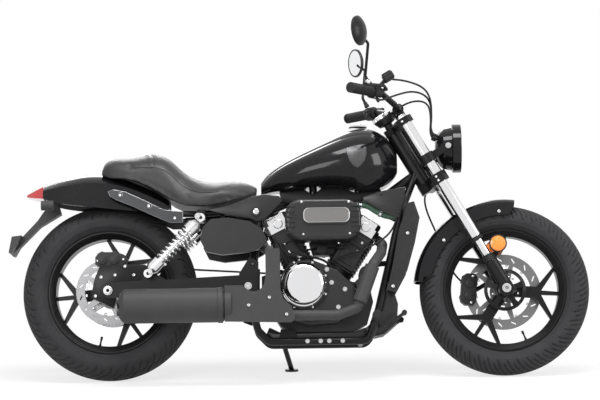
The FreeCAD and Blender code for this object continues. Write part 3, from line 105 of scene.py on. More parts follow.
AHEAD = Vector((1, 0, 0))
REAR_WHEEL = axes(AHEAD, ACROSS, AHEAD.cross(ACROSS), REAR_AXLE)
FRONT_WHEEL = axes(AHEAD, ACROSS, AHEAD.cross(ACROSS), FRONT_AXLE)
UPRIGHT = REAR_WHEEL @ Matrix.Translation((0, 0, -REAR_RADIUS))
FORK = axes(ACROSS.cross(ALONG_FORK), ACROSS, ALONG_FORK, FRONT_AXLE)
SIDES = (1, -1)
FORWARD, UP = (1, 0, 0), (0, 0, 1)
LEG_LEAD, LEG_HALF = 0.005, 0.098        # the fork legs' axes, in the fork's frame
RECTANGLE = ((-1, -1), (1, -1), (1, 1), (-1, 1))        # its corners, in half widths


# ---------------------------------------------------------------- settings
class CruiserPaint(bpy.types.PropertyGroup):
    gloss: FloatVectorProperty(
        name="Gloss paint", description="Colour of the tank, fenders and lamp shell",
        subtype="COLOR", size=3, min=0, max=1, default=(0.006, 0.006, 0.007))
    satin: FloatVectorProperty(
        name="Satin paint", description="Colour of the frame, wheels and clamps",
        subtype="COLOR", size=3, min=0, max=1, default=(0.005, 0.005, 0.0055))
    engine: FloatVectorProperty(
        name="Engine enamel", description="Colour of the engine's cast cases",
        subtype="COLOR", size=3, min=0, max=1, default=(0.015, 0.015, 0.016))
    exhaust: FloatVectorProperty(
        name="Heat coating", description="Colour of the exhaust and its shields",
        subtype="COLOR", size=3, min=0, max=1, default=(0.040, 0.040, 0.041))
    tyre: FloatVectorProperty(
        name="Tyre rubber", description="Colour of the tyres",
        subtype="COLOR", size=3, min=0, max=1, default=(0.022, 0.022, 0.024))
    rubber: FloatVectorProperty(
        name="Rubber", description="Colour of the grips, hoses and seals",
        subtype="COLOR", size=3, min=0, max=1, default=(0.010, 0.010, 0.011))
    saddle: FloatVectorProperty(
        name="Saddle cover", description="Colour of the saddle's grained cover",
        subtype="COLOR", size=3, min=0, max=1, default=(0.014, 0.014, 0.015))
    orange_peel: FloatProperty(
        name="Orange peel", description="Depth of the ripple left in the gloss paint",
        subtype="DISTANCE", unit="LENGTH", min=0, max=0.001, default=0.00004)


class CruiserTyres(bpy.types.PropertyGroup):
    groove: FloatProperty(
        name="Groove depth", description="Depth of the tread grooves",
        subtype="DISTANCE", unit="LENGTH", min=0.0005, max=0.006, default=0.004)
    front_blocks: IntProperty(
        name="Front pitch count", description="Groove pairs round the front tyre",
        min=12, max=90, default=46)
    rear_blocks: IntProperty(
        name="Rear pitch count", description="Groove pairs round the rear tyre",
        min=12, max=90, default=32)
    steps: IntProperty(
        name="Steps round", description="Mesh steps round each tyre",
        min=180, max=1200, default=920)


class CruiserSaddle(bpy.types.PropertyGroup):
    voxel: FloatProperty(
        name="Voxel", description="Remesh size of the foam before it is covered",
        subtype="DISTANCE", unit="LENGTH", min=0.003, max=0.02, default=0.006)
    pressure: FloatProperty(
        name="Pressure", description="Pressure of the foam in its cover",
        min=0, max=20, default=4.0)
    swell: FloatProperty(
        name="Largest swell", description="How far the cover may move outwards",
        subtype="DISTANCE", unit="LENGTH", min=0, max=0.03, default=0.007)
    piping: FloatProperty(
        name="Piping radius", description="Radius of the sewn piping",
        subtype="DISTANCE", unit="LENGTH", min=0.0005, max=0.006, default=0.0022)


class CruiserStudio(bpy.types.PropertyGroup):
    key: FloatProperty(
        name="Key light", description="Power of the large overhead soft box",
        subtype="POWER", unit="POWER", min=0, max=5000, default=120)
    fill: FloatProperty(
        name="Fill light", description="Power of the soft box beside the camera",
        subtype="POWER", unit="POWER", min=0, max=5000, default=90)
    surround: FloatProperty(
        name="Surround", description="Strength of the even light from all round",
        min=0, max=3, default=0.55)
    floor: FloatVectorProperty(
        name="Floor", description="Colour of the studio floor",
        subtype="COLOR", size=3, min=0, max=1, default=(0.80, 0.80, 0.80))


# ---------------------------------------------------------------- shader helpers
class Graph:
    """A node tree that is filled from the left to the right."""

    def __init__(self, tree):
        self.tree = tree
        self.column = 0

    def add(self, kind, inputs=None, **fields):
        node = self.tree.nodes.new(kind)
        self.column += 1
        node.location = (180 * self.column, -40 * (self.column % 6))
        for field, value in fields.items():
            setattr(node, field, value)
        for name, value in (inputs or {}).items():
            self.feed(node.inputs[name], value)
        return node

    def feed(self, socket, value):
        if isinstance(value, bpy.types.NodeSocket):
            self.tree.links.new(value, socket)
        else:
            socket.default_value = value

    def maths(self, operation, first, second=0.0, third=0.0):
        node = self.add("ShaderNodeMath", operation=operation)
        for socket, value in zip(node.inputs, (first, second, third)):
            self.feed(socket, value)
        return node.outputs[0]

    def ramp(self, value, low, high, low_out=0.0, high_out=1.0):
        node = self.add("ShaderNodeMapRange", {
            "Value": value, "From Min": low, "From Max": high, "To Min": low_out,
            "To Max": high_out})
        return node.outputs["Result"]

    def blend(self, factor, first, second, mode="MIX"):
        node = self.add("ShaderNodeMix", data_type="RGBA", blend_type=mode)
        self.feed(node.inputs["Factor"], factor)
        self.feed(node.inputs["A"], first)
        self.feed(node.inputs["B"], second)
        return node.outputs["Result"]


def group_graph(name, inputs, outputs):
    """An empty shader node group with its sockets; inputs are (name, type, default)."""
    group = bpy.data.node_groups.new(name, "ShaderNodeTree")
    for label, kind, default in inputs:
        socket = group.interface.new_socket(label, in_out="INPUT", socket_type=kind)
        socket.default_value = default
    for label, kind in outputs:
        group.interface.new_socket(label, in_out="OUTPUT", socket_type=kind)
    graph = Graph(group)
    entry = graph.add("NodeGroupInput")
    leave = group.nodes.new("NodeGroupOutput")
    leave.location = (2400, 0)
    return graph, entry.outputs, leave.inputs


def make_uneven_group():
    """Slow drift of colour and roughness, as handling and dust leave on any finish."""
    graph, given, out = group_graph("Uneven Surface", (
        ("Color", "NodeSocketColor", (0.5, 0.5, 0.5, 1)),
        ("Dust Color", "NodeSocketColor", (0.5, 0.5, 0.5, 1)),
        ("Dust", "NodeSocketFloat", 0.05),
        ("Scale", "NodeSocketFloat", 12.0),
        ("Roughness", "NodeSocketFloat", 0.3),
        ("Roughness Spread", "NodeSocketFloat", 0.1)),
        (("Color", "NodeSocketColor"), ("Roughness", "NodeSocketFloat")))
    place = graph.add("ShaderNodeTexCoord").outputs["Object"]
    broad = graph.add("ShaderNodeTexNoise", {
        "Vector": place, "Scale": given["Scale"], "Detail": 6.0, "Roughness": 0.6})
    fine = graph.add("ShaderNodeTexNoise", {
        "Vector": place, "Scale": graph.maths("MULTIPLY", given["Scale"], 14.0), "Detail": 3.0})
    mixed = graph.maths("MULTIPLY", broad.outputs["Fac"], fine.outputs["Fac"])
    mask = graph.ramp(mixed, 0.16, 0.42)
    dusty = graph.maths("MULTIPLY", mask, given["Dust"])
    graph.feed(out["Color"], graph.blend(dusty, given["Color"], given["Dust Color"]))
    drift = graph.maths("MULTIPLY", graph.maths("SUBTRACT", mask, 0.5), given["Roughness Spread"])
    graph.feed(out["Roughness"], graph.maths("ADD", given["Roughness"], drift))
    return graph.tree


def make_grain_group():
    """Small pebbles or cast grain, as a normal, with a mask that is dark in the hollows."""
    graph, given, out = group_graph("Pebble Grain", (
        ("Scale", "NodeSocketFloat", 400.0),
        ("Depth", "NodeSocketFloat", 0.0003),
        ("Pebble", "NodeSocketFloat", 0.5)),
        (("Normal", "NodeSocketVector"), ("Mask", "NodeSocketFloat")))
    place = graph.add("ShaderNodeTexCoord").outputs["Object"]
    cells = graph.add("ShaderNodeTexVoronoi", {"Vector": place, "Scale": given["Scale"]},
                      feature="F1")
    noise = graph.add("ShaderNodeTexNoise", {
        "Vector": place, "Scale": graph.maths("MULTIPLY", given["Scale"], 1.7), "Detail": 4.0})
    round_top = graph.ramp(cells.outputs["Distance"], 0.05, 0.6, 1.0, 0.0)
    one = graph.maths("MULTIPLY", round_top, given["Pebble"])
    two = graph.maths("MULTIPLY", noise.outputs["Fac"],
                      graph.maths("SUBTRACT", 1.0, given["Pebble"]))
    height = graph.maths("ADD", one, two)
    bump = graph.add("ShaderNodeBump", {"Height": height, "Distance": given["Depth"],
                                        "Strength": 1.0})
    graph.feed(out["Normal"], bump.outputs["Normal"])
    graph.feed(out["Mask"], height)
    return graph.tree


def make_brushed_group():
    """Turned rings about an axle or straight brushing, as a factor and a roughness."""
    graph, given, out = group_graph("Brushed Lines", (
        ("Centre", "NodeSocketVector", (0, 0, 0)),
        ("Scale", "NodeSocketFloat", 900.0),
        ("Roughness", "NodeSocketFloat", 0.3),
        ("Roughness Spread", "NodeSocketFloat", 0.15)),
        (("Fac", "NodeSocketFloat"), ("Roughness", "NodeSocketFloat")))
    place = graph.add("ShaderNodeTexCoord").outputs["Object"]
    away = graph.add("ShaderNodeVectorMath", {0: place, 1: given["Centre"]}, operation="SUBTRACT")
    length = graph.add("ShaderNodeVectorMath", {0: away.outputs["Vector"]}, operation="LENGTH")
    lines = graph.add("ShaderNodeTexNoise", {
        "W": graph.maths("MULTIPLY", length.outputs["Value"], given["Scale"]), "Scale": 1.0,
        "Detail": 3.0},
        noise_dimensions="1D")
    factor = graph.ramp(lines.outputs["Fac"], 0.3, 0.7)
    drift = graph.maths("MULTIPLY", graph.maths("SUBTRACT", factor, 0.5), given["Roughness Spread"])
    graph.feed(out["Fac"], factor)
    graph.feed(out["Roughness"], graph.maths("ADD", given["Roughness"], drift))
    return graph.tree


GROUPS = {"uneven": make_uneven_group, "grain": make_grain_group, "brushed": make_brushed_group}
made = {}        # the node groups and materials that exist so far, by their keys


def place_group(graph, key, **values):
    """Puts a shared node group in a material, with its own values; an underscore is a space."""
    if key not in made:
        made[key] = GROUPS[key]()
    node = graph.add("ShaderNodeGroup", node_tree=made[key])
    for socket, value in values.items():
        node.inputs[socket.replace("_", " ")].default_value = value
    return node.outputs


def colour(rgb):
    return (*rgb, 1.0)


def setting(value):
    """The value itself, or that of the paint setting which it names."""
    return getattr(bpy.context.scene.cruiser_paint, value) if isinstance(value, str) else value


# Each finish is (the material's name, its colour or the setting that holds it, its roughness,
# further arguments of make_finish()).
FINISHES = {
    "gloss_paint": ("Gloss black paint", "gloss", 0.16, dict(
        spread=0.05, dust=0.006, drift=5.0, grain=(150.0, "orange_peel", 0.0),
        specular_ior_level=0.12, coat_weight=0.3, coat_roughness=0.03)),
    "satin_paint": ("Satin black paint", "satin", 0.34, dict(
        dust=0.012, grain=(1600.0, 0.00002, 0.3), specular_ior_level=0.22)),
    "cast_enamel": ("Engine enamel", "engine", 0.42, dict(
        dust=0.02, grain=(900.0, 0.00008, 0.4), specular_ior_level=0.3)),
    "heat_coating": ("Heat coating", "exhaust", 0.56, dict(
        dust=0.03, grain=(1500.0, 0.00005, 0.5), specular_ior_level=0.25)),
    "gunmetal": ("Gunmetal paint", (0.05, 0.052, 0.055), 0.34, dict(
        dust=0.03, grain=(1200.0, 0.00003, 0.4), metallic=0.5)),
    "chrome": ("Chrome", (0.78, 0.78, 0.79), 0.09, dict(spread=0.06, dust=0.02, metallic=1.0)),
    "bright_steel": ("Bright fastenings", (0.62, 0.62, 0.63), 0.22, dict(
        spread=0.1, dust=0.05, metallic=1.0)),
    "polished_alloy": ("Polished alloy", (0.74, 0.74, 0.75), 0.2, dict(
        spread=0.12, dust=0.05, metallic=1.0, grain=(420.0, 0.00003, 0.2))),
    "front_disc_steel": ("Disc steel front", (0.24, 0.24, 0.245), 0.32, dict(
        dust=0.05, metallic=1.0, brushed=(FRONT_AXLE, 2200.0))),
    "rear_disc_steel": ("Disc steel rear", (0.24, 0.24, 0.245), 0.32, dict(
        dust=0.05, metallic=1.0, brushed=(REAR_AXLE, 2200.0))),
    "strut_alloy": ("Strut alloy", (0.045, 0.046, 0.048), 0.34, dict(
        dust=0.03, metallic=0.6, brushed=((0, 0, 3), 1800.0))),
    "black_rubber": ("Black rubber", "rubber", 0.6, dict(
        dust=0.03, grain=(1200.0, 0.00008, 0.4), specular_ior_level=0.25)),
    "tyre_rubber": ("Tyre rubber", "tyre", 0.72, dict(
        dust=0.16, dust_rgb=(0.10, 0.099, 0.097), drift=22.0, grain=(1500.0, 0.00008, 0.3),
        specular_ior_level=0.22)),
    "black_plastic": ("Grained black plastic", (0.012, 0.012, 0.0125), 0.48, dict(
        dust=0.02, grain=(1300.0, 0.0001, 0.6), specular_ior_level=0.3)),
    "grey_plastic": ("Dark grey plastic", (0.032, 0.032, 0.033), 0.5, dict(
        dust=0.03, grain=(1300.0, 0.0001, 0.6), specular_ior_level=0.3)),
    "satin_cover": ("Satin cover paint", (0.013, 0.013, 0.0135), 0.30, dict(
        spread=0.05, dust=0.008, grain=(2200.0, 0.00001, 0.4), specular_ior_level=0.4)),
    "radiator_core": ("Radiator core", (0.03, 0.03, 0.031), 0.45, dict(
        dust=0.05, metallic=0.6, grain=(900.0, 0.0001, 0.2))),
    "mirror_glass": ("Mirror glass", (0.86, 0.87, 0.88), 0.03, dict(
        spread=0.02, dust=0.01, metallic=1.0)),
    "clear_lens": ("Clear lens", (0.95, 0.96, 0.97), 0.04, dict(
        spread=0.02, dust=0.01, transmission_weight=1.0, ior=1.45)),
    "red_lens": ("Red lens", (0.42, 0.008, 0.012), 0.12, dict(
        spread=0.05, dust=0.02, grain=(260.0, 0.0005, 1.0), coat_weight=1.0, coat_roughness=0.04)),
    "amber_lens": ("Amber lens", (0.86, 0.24, 0.01), 0.14, dict(
        spread=0.05, dust=0.02, grain=(300.0, 0.0006, 1.0), coat_weight=1.0, coat_roughness=0.04)),
    "saddle_cover": ("Saddle cover", "saddle", 0.40, dict(
        spread=0.1, dust=0.02, drift=7.0, grain=(620.0, 0.0003, 0.85), specular_ior_level=0.45)),
    "piping_vinyl": ("Piping vinyl", "saddle", 0.36, dict(
        dust=0.04, grain=(1500.0, 0.00006, 0.4))),
    "thread": ("Saddle thread", (0.05, 0.05, 0.052), 0.7, dict(
        dust=0.05, grain=(4000.0, 0.0001, 0.2))),
    "shield_metal": ("Shield metal", (0.085, 0.085, 0.088), 0.38, dict(
        spread=0.12, dust=0.08, metallic=0.8, grain=(900.0, 0.0001, 0.3))),
    "brushed_panel": ("Brushed panel", (0.20, 0.195, 0.19), 0.36, dict(
        dust=0.1, metallic=0.9, brushed=((0, 0, 4), 2600.0))),
    # A lighter metal for thin lines along edges: a painted highlight, standing in for the light
    # that the edges catch.
    "painted_edge_highlight": ("Painted edge highlight", (0.32, 0.32, 0.33), 0.34, dict(dust=0.05, metallic=1.0)),
    "green_hose": ("Green hose", (0.055, 0.13, 0.085), 0.5, dict(
        dust=0.15, grain=(900.0, 0.0002, 0.3))),
    "dial_black": ("Dial face", (0.008, 0.008, 0.009), 0.5, dict(
        spread=0.03, dust=0.01, grain=(2500.0, 0.00002, 0.5))),
    "dial_white": ("Dial marks", (0.72, 0.72, 0.70), 0.5, dict(spread=0.03, dust=0.02)),
}


def make_finish(name, rgb, roughness, *, spread=0.08, dust=0.05, dust_rgb=(0.32, 0.31, 0.30),
                drift=9.0, grain=None, brushed=None, **sockets):
    """A Principled material with drifting colour and roughness.

    grain is (scale, depth, pebble share) of a fine relief; brushed is (centre, lines a metre).
    The other keywords set the shader's own sockets, such as metallic or coat_weight.
    """
    material = bpy.data.materials.new(name)
    material.use_nodes = True
    graph = Graph(material.node_tree)
    shader = material.node_tree.nodes["Principled BSDF"]
    shader.location = (2000, 0)
    uneven = place_group(graph, "uneven", Color=colour(rgb), Dust_Color=colour(dust_rgb), Dust=dust,
                         Scale=drift, Roughness=roughness, Roughness_Spread=spread)
    tint, rough = uneven["Color"], uneven["Roughness"]
    if brushed:
        lines = place_group(graph, "brushed", Centre=brushed[0], Scale=brushed[1],
                            Roughness=roughness, Roughness_Spread=spread * 2)
        tint = graph.blend(graph.maths("MULTIPLY", lines["Fac"], 0.25), tint,
                           colour([part * 0.55 for part in rgb]))
        rough = lines["Roughness"]
    graph.feed(shader.inputs["Base Color"], tint)
    graph.feed(shader.inputs["Roughness"], rough)
    if grain:
        scale, depth, pebble = grain
        relief = place_group(graph, "grain", Scale=scale, Depth=setting(depth), Pebble=pebble)
        graph.feed(shader.inputs["Normal"], relief["Normal"])
    for socket, value in sockets.items():
        shader.inputs[socket.replace("_", " ").title().replace("Ior", "IOR")].default_value = value
    return material


def finish(key):
    """The material for a key of FINISHES, made when it is first used."""
    if key not in made:
        name, rgb, roughness, others = FINISHES[key]
        made[key] = make_finish(name, setting(rgb), roughness, **others)
    return made[key]


# ---------------------------------------------------------------- mesh helpers
class Form:
    """Gathers the faces of one piece and turns them into an object."""

    def __init__(self, place=UPRIGHT):
        self.place = place
        self.points = []
        self.faces = []

    def loop(self, points):
        start = len(self.points)
        self.points += [Vector(point) for point in points]
        return list(range(start, len(self.points)))

    def bridge(self, first, second, closed=True):
        count = len(first)
        for i in range(count if closed else count - 1):
            j = (i + 1) % count
            self.faces.append((first[i], first[j], second[j], second[i]))

    def skin(self, loops, cap=True, closed=True):
        """Faces from loop to loop, with the two ends filled."""
        rows = [self.loop(points) for points in loops]
        for first, second in zip(rows, rows[1:]):
            self.bridge(first, second, closed)
        if cap:
            self.faces.append(tuple(reversed(rows[0])))
            self.faces.append(tuple(rows[-1]))

    def lathe(self, profile, centre, axis, steps=24):
        """Turns (radius, along) points about an axis; a radius of 0 closes that end."""
        axis = Vector(axis).normalized()
        side = axis.orthogonal().normalized()
        other = axis.cross(side)
        centre = Vector(centre)
        turns = [2 * math.pi * i / steps for i in range(steps)]
        rows = []
        for radius, along in profile:
            middle = centre + axis * along
            if radius <= 0:
                rows.append(self.loop([middle]))
                continue
            rows.append(self.loop([middle + (side * math.cos(t) + other * math.sin(t)) * radius
                                   for t in turns]))
        for first, second in zip(rows, rows[1:]):
            if len(first) == 1:
                self.faces += [(first[0], second[i], second[(i + 1) % steps]) for i in range(steps)]
            elif len(second) == 1:
                self.faces += [(second[0], first[(i + 1) % steps], first[i]) for i in range(steps)]
            else:
                self.bridge(first, second)
        return self

    def prism(self, outline, low, high):
        """An outline of (x, z) points carried from low to high along Y."""
        self.skin([[(x, low, z) for x, z in outline], [(x, high, z) for x, z in outline]])
        return self

    def tube(self, points, radius, steps=12):
        """A round bar along points, with a mitre at each."""
        points = [Vector(point) for point in points]
        ways = [(b - a).normalized() for a, b in zip(points, points[1:])]
        tangents = [ways[0]] + [(a + b).normalized() for a, b in zip(ways, ways[1:])] + [ways[-1]]
        side = tangents[0].orthogonal().normalized()
        loops = []
        for point, way in zip(points, tangents):
            side = (side - way * side.dot(way)).normalized()
            other = way.cross(side)
            loops.append([point + (side * math.cos(t) + other * math.sin(t)) * radius
                          for t in (2 * math.pi * i / steps for i in range(steps))])
        self.skin(loops)
        return self

    def hex_head(self, at, way, radius):
        """A hexagon head on a washer."""
        self.lathe([(0, 0), (radius * 1.35, 0), (radius * 1.35, radius * 0.18), (0, radius * 0.18)],
                   at, way, 20)
        self.lathe([(0, 0), (radius, 0), (radius, radius * 0.72), (radius * 0.86, radius * 0.86),
                    (0, radius * 0.86)], at, way, 6)
        return self

    def button_head(self, at, way, radius):
        """A domed head with a socket."""
        self.lathe([(0, 0), (radius, 0), (radius * 0.97, radius * 0.22),
                    (radius * 0.78, radius * 0.5),
                    (radius * 0.45, radius * 0.62), (radius * 0.42, radius * 0.25),
                    (0, radius * 0.2)], at, way, 18)
        return self

    def build(self, name, body, material, angle=35, bevel=0.0):
        """The finished object, riding on its body; material is a key of FINISHES."""
        mesh = bpy.data.meshes.new(name)
        mesh.from_pydata([self.place @ point for point in self.points], [], self.faces)
        work = bmesh.new()
        work.from_mesh(mesh)
        bmesh.ops.remove_doubles(work, verts=work.verts, dist=1e-6)
        bmesh.ops.recalc_face_normals(work, faces=work.faces)
        work.to_mesh(mesh)
        work.free()
        item = bpy.data.objects.new(name, mesh)
        bpy.context.scene.collection.objects.link(item)
        if bevel:
            edge = item.modifiers.new("Rounded edges", "BEVEL")
            edge.width = bevel
            edge.segments = 2
            edge.limit_method = "ANGLE"
            edge.angle_limit = math.radians(40)
            apply_modifiers(item)
        item.data.shade_smooth()
        item.data.set_sharp_from_angle(angle=math.radians(angle))
        item.data.materials.append(finish(material))
        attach(item, body)
        return item


def apply_modifiers(item):
    """Leaves the object with the mesh that its modifiers give."""
    graph = bpy.context.evaluated_depsgraph_get()
    mesh = bpy.data.meshes.new_from_object(item.evaluated_get(graph))
    item.modifiers.clear()
    item.data = mesh


def hose(name, points, radius, body, material, place=UPRIGHT):
    """A round hose or cable along one smooth line."""
    curve = bpy.data.curves.new(name, "CURVE")
    curve.dimensions = "3D"
    curve.bevel_depth = radius
    curve.bevel_resolution = 4
    curve.resolution_u = 10
    spline = curve.splines.new("NURBS")
    spline.points.add(len(points) - 1)
    for knot, point in zip(spline.points, points):
        knot.co = (*(place @ Vector(point)), 1)
    spline.order_u = 3
    spline.use_endpoint_u = True
    curve.use_fill_caps = True
    curve.materials.append(finish(material))
    item = bpy.data.objects.new(name, curve)
    bpy.context.scene.collection.objects.link(item)
    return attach(item, body)


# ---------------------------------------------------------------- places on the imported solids
TREES = {}


def tree_of(item):
    """A tree of the object's faces, in the upright machine's frame."""
    if item.name not in TREES:
        turn = UPRIGHT.inverted() @ item.matrix_world
        points = [turn @ vertex.co for vertex in item.data.vertices]
        faces = [tuple(face.vertices) for face in item.data.polygons]
        TREES[item.name] = BVHTree.FromPolygons(points, faces)
    return TREES[item.name]


def cast(item, start, way):
    """Where a ray first meets the object, and the way that its face looks."""
    way = Vector(way).normalized()
    spot, normal, _, _ = tree_of(item).ray_cast(Vector(start), way)
    if spot is None:
        raise RuntimeError(f"{item.name} isn't met from {tuple(start)}")
    return spot, -normal if normal.dot(way) > 0 else normal


def on_side(item, x, z, side):
    return cast(item, (x, side * 0.8, z), (0, -side, 0))


def bolt_row(form, node, side, places, radius, head="hex"):
    """Bolt heads on the outside of a node, at (x, z) places in millimetres."""
    for x, z in places:
        spot, normal = on_side(NODES[node], x / 1000, z / 1000, side)
        getattr(form, head + "_head")(spot, normal, radius)


def spoke(turn):
    """The ways out from a wheel's axle and round it, at an angle from its top."""
    return (Vector((math.sin(turn), 0, math.cos(turn))),
            Vector((math.cos(turn), 0, -math.sin(turn))))


def section_line(item, x, centre_z, low, high, count, slant=0.0):
    """Points round an object's section at x, from one angle off the top to the other."""
    points = []
    for i in range(count):
        turn = math.radians(low + (high - low) * i / (count - 1))
        out = Vector((0, math.sin(turn), math.cos(turn)))
        start = Vector((x, 0, centre_z)) + out * 0.5 + Vector((slant * abs(math.sin(turn)), 0, 0))
        spot, normal = cast(item, start, -out)
        points.append(spot + normal * 0.0004)
    return points


def seam(name, lines, radius, body, material):
    form = Form()
    for line in lines:
        form.tube(line, radius, 8)
    return form.build(name, body, material)


def painted_highlight_line(name, node, body, radius, material):
    """A thin line along the outer edges of a plate; in a light finish it is a painted highlight of
    those edges.
    """
    item = NODES[node]
    turn = UPRIGHT.inverted() @ item.matrix_world
    work = bmesh.new()
    work.from_mesh(item.data)
    bmesh.ops.transform(work, matrix=turn, verts=work.verts)
    bmesh.ops.remove_doubles(work, verts=work.verts, dist=1e-6)
    bmesh.ops.recalc_face_normals(work, faces=work.faces)
    form = Form()
    for edge in work.edges:
        if len(edge.link_faces) != 2:
            continue
        first, second = (face.normal for face in edge.link_faces)
        outward = math.copysign(1, edge.verts[0].co.y)
        flat = [normal for normal in (first, second) if normal.y * outward > 0.95]
        if len(flat) == 1 and first.dot(second) < 0.7:
            form.tube([vertex.co for vertex in edge.verts], radius, 5)
    work.free()
    return form.build(name, body, material)


# ---------------------------------------------------------------- operators
class Step(bpy.types.Operator):
    """A step of the dressing; the pieces are made in make()."""
    bl_idname = "cruiser.step"
    bl_label = "Step"
    bl_options = {"REGISTER", "UNDO"}

    def execute(self, context):
        self.make(context.scene)
        return {"FINISHED"}

    def make(self, scene):
        raise NotImplementedError


class CRUISER_OT_stage(Step):
    """Sets the camera, the soft boxes, the pale floor and the white surround."""
    bl_idname = "cruiser.stage"
    bl_label = "Studio"

    LENS_MM, SENSOR_MM = 171.4, 36.0
    CAMERA_PLACE = (0.03685, -10.1821, 1.24678)
    YAW, PITCH, ROLL = -0.0031918, -0.0615342, 0.0145177        # radians

    def camera(self, scene):
        data = bpy.data.cameras.new("Camera")
        data.sensor_width = self.SENSOR_MM
        data.lens = self.LENS_MM
        yaw, pitch, roll = self.YAW, self.PITCH, self.ROLL
        ahead = Vector((math.sin(yaw) * math.cos(pitch), math.cos(yaw) * math.cos(pitch),
                        math.sin(pitch)))
        right = Vector((math.cos(yaw), -math.sin(yaw), 0))
        up = right.cross(ahead)
        across = right * math.cos(roll) - up * math.sin(roll)
        upright = right * math.sin(roll) + up * math.cos(roll)
        camera = bpy.data.objects.new("Camera", data)
        camera.matrix_world = axes(across, upright, -ahead, Vector(self.CAMERA_PLACE))
        scene.collection.objects.link(camera)
        scene.camera = camera

    def soft_box(self, scene, name, power, size, at, aim=(0.0, 0.0, 0.6)):
        data = bpy.data.lights.new(name, "AREA")
        data.shape = "RECTANGLE"
        data.size, data.size_y = size
        data.energy = power
        lamp = bpy.data.objects.new(name, data)
        lamp.location = at
        lamp.rotation_euler = (Vector(aim) - Vector(at)).to_track_quat("-Z", "Y").to_euler()
        scene.collection.objects.link(lamp)

    def seen(self, graph):
        """1 where the camera, a mirror or a glass looks, 0 for the light on other things."""
        rays = graph.add("ShaderNodeLightPath").outputs
        either = graph.maths("MAXIMUM", rays["Is Camera Ray"], rays["Is Glossy Ray"])
        return graph.maths("MAXIMUM", either, rays["Is Transmission Ray"])

    def world(self, scene):
        world = bpy.data.worlds.new("Studio")
        world.use_nodes = True
        tree = world.node_tree
        tree.nodes.clear()
        graph = Graph(tree)
        strength = graph.ramp(self.seen(graph), 0.0, 1.0, scene.cruiser_studio.surround, 1.0)
        light = graph.add("ShaderNodeBackground",
                          {"Color": colour((1, 1, 1)), "Strength": strength})
        out = graph.add("ShaderNodeOutputWorld")
        graph.feed(out.inputs["Surface"], light.outputs["Background"])
        scene.world = world

    def floor(self, scene):
        floor = Form(Matrix.Identity(4))
        floor.lathe([(radius, 0) for radius in (0, 0.6, 2.4, 9.0, 30.0)], (0, 0, 0), UP, 64)
        mesh = bpy.data.meshes.new("Floor")
        mesh.from_pydata(floor.points, [], floor.faces)
        item = bpy.data.objects.new("Floor", mesh)
        scene.collection.objects.link(item)
        material = bpy.data.materials.new("Studio floor")
        material.use_nodes = True
        tree = material.node_tree
        tree.nodes.clear()
        graph = Graph(tree)
        place = graph.add("ShaderNodeTexCoord").outputs["Object"]
        noise = graph.add("ShaderNodeTexNoise", {"Vector": place, "Scale": 3.0, "Detail": 5.0})
        pale = scene.cruiser_studio.floor
        tone = graph.blend(graph.ramp(noise.outputs["Fac"], 0.3, 0.7), colour(pale),
                           colour([part * 0.97 for part in pale]))
        matte = graph.add("ShaderNodeBsdfDiffuse", {"Color": tone, "Roughness": 0.5})
        bright = graph.add("ShaderNodeEmission", {"Color": colour((1, 1, 1)), "Strength": 1.0})
        away = graph.add("ShaderNodeVectorMath", {0: place}, operation="LENGTH").outputs["Value"]
        share = graph.maths("MULTIPLY", self.seen(graph), graph.ramp(away, 0.9, 2.0, 0.72, 1.0))
        mixed = graph.add("ShaderNodeMixShader",
                          {0: share, 1: matte.outputs[0], 2: bright.outputs[0]})
        out = graph.add("ShaderNodeOutputMaterial")
        graph.feed(out.inputs["Surface"], mixed.outputs[0])
        mesh.materials.append(material)

    def make(self, scene):
        studio = scene.cruiser_studio
        scene.view_settings.view_transform = "Standard"
        self.camera(scene)
        self.world(scene)
        self.floor(scene)
        self.soft_box(scene, "Overhead", studio.key, (2.6, 1.1), (0.3, -1.3, 3.6))
        self.soft_box(scene, "Beside camera", studio.fill, (2.2, 2.2), (-2.4, -5.0, 2.2))
        self.soft_box(scene, "Ahead", studio.fill * 0.6, (1.2, 2.0), (3.6, -1.6, 1.8),
                      (0.3, 0.0, 0.6))
        self.soft_box(scene, "Far side", studio.fill * 0.6, (2.4, 1.4), (-0.6, 4.2, 2.6))


class CRUISER_OT_finishes(Step):
    """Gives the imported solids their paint, enamel, chrome, steel and rubber."""
    bl_idname = "cruiser.finishes"
    bl_label = "Finishes"

    WORN_BY = {
        "gloss_paint": ("fuel_tank", "front_fender", "rear_fender", "headlight", "pulley_cover"),
        "satin_cover": ("side_covers", "air_cleaner"),
        "satin_paint": ("frame", "swingarm", "front_wheel", "rear_wheel", "triple_clamps",
                        "fork_feet", "handlebar", "mirrors", "side_stand", "rear_caliper",
                        "front_caliper"),
        "cast_enamel": ("crankcase", "cylinder_front", "cylinder_rear"),
        "heat_coating": ("exhaust_pipes", "silencer"),
        "chrome": ("fork_tubes", "shock_springs", "clutch_cover", "tank_cap"),
        "polished_alloy": ("head_front", "head_rear", "rear_shocks"),
        "front_disc_steel": ("front_disc",),
        "rear_disc_steel": ("rear_disc",),
        "bright_steel": ("front_axle", "rear_axle", "rear_pulley"),
        "strut_alloy": ("fender_struts",),
        "black_rubber": ("drive_belt", "bar_controls", "foot_controls", "inlet_pipes",
                         "control_cables"),
        "black_plastic": ("gauge", "radiator_shroud"),
        "grey_plastic": ("plate_bracket",),
        "radiator_core": ("radiator",),
        "red_lens": ("tail_light",),
        "amber_lens": ("front_reflectors",),
        "tyre_rubber": ("front_tyre", "rear_tyre"),
        "clear_lens": ("headlight_lens",),
    }

    def make(self, scene):
        for key, names in self.WORN_BY.items():
            for name in names:
                slots = NODES[name].data.materials
                slots.clear()
                slots.append(finish(key))


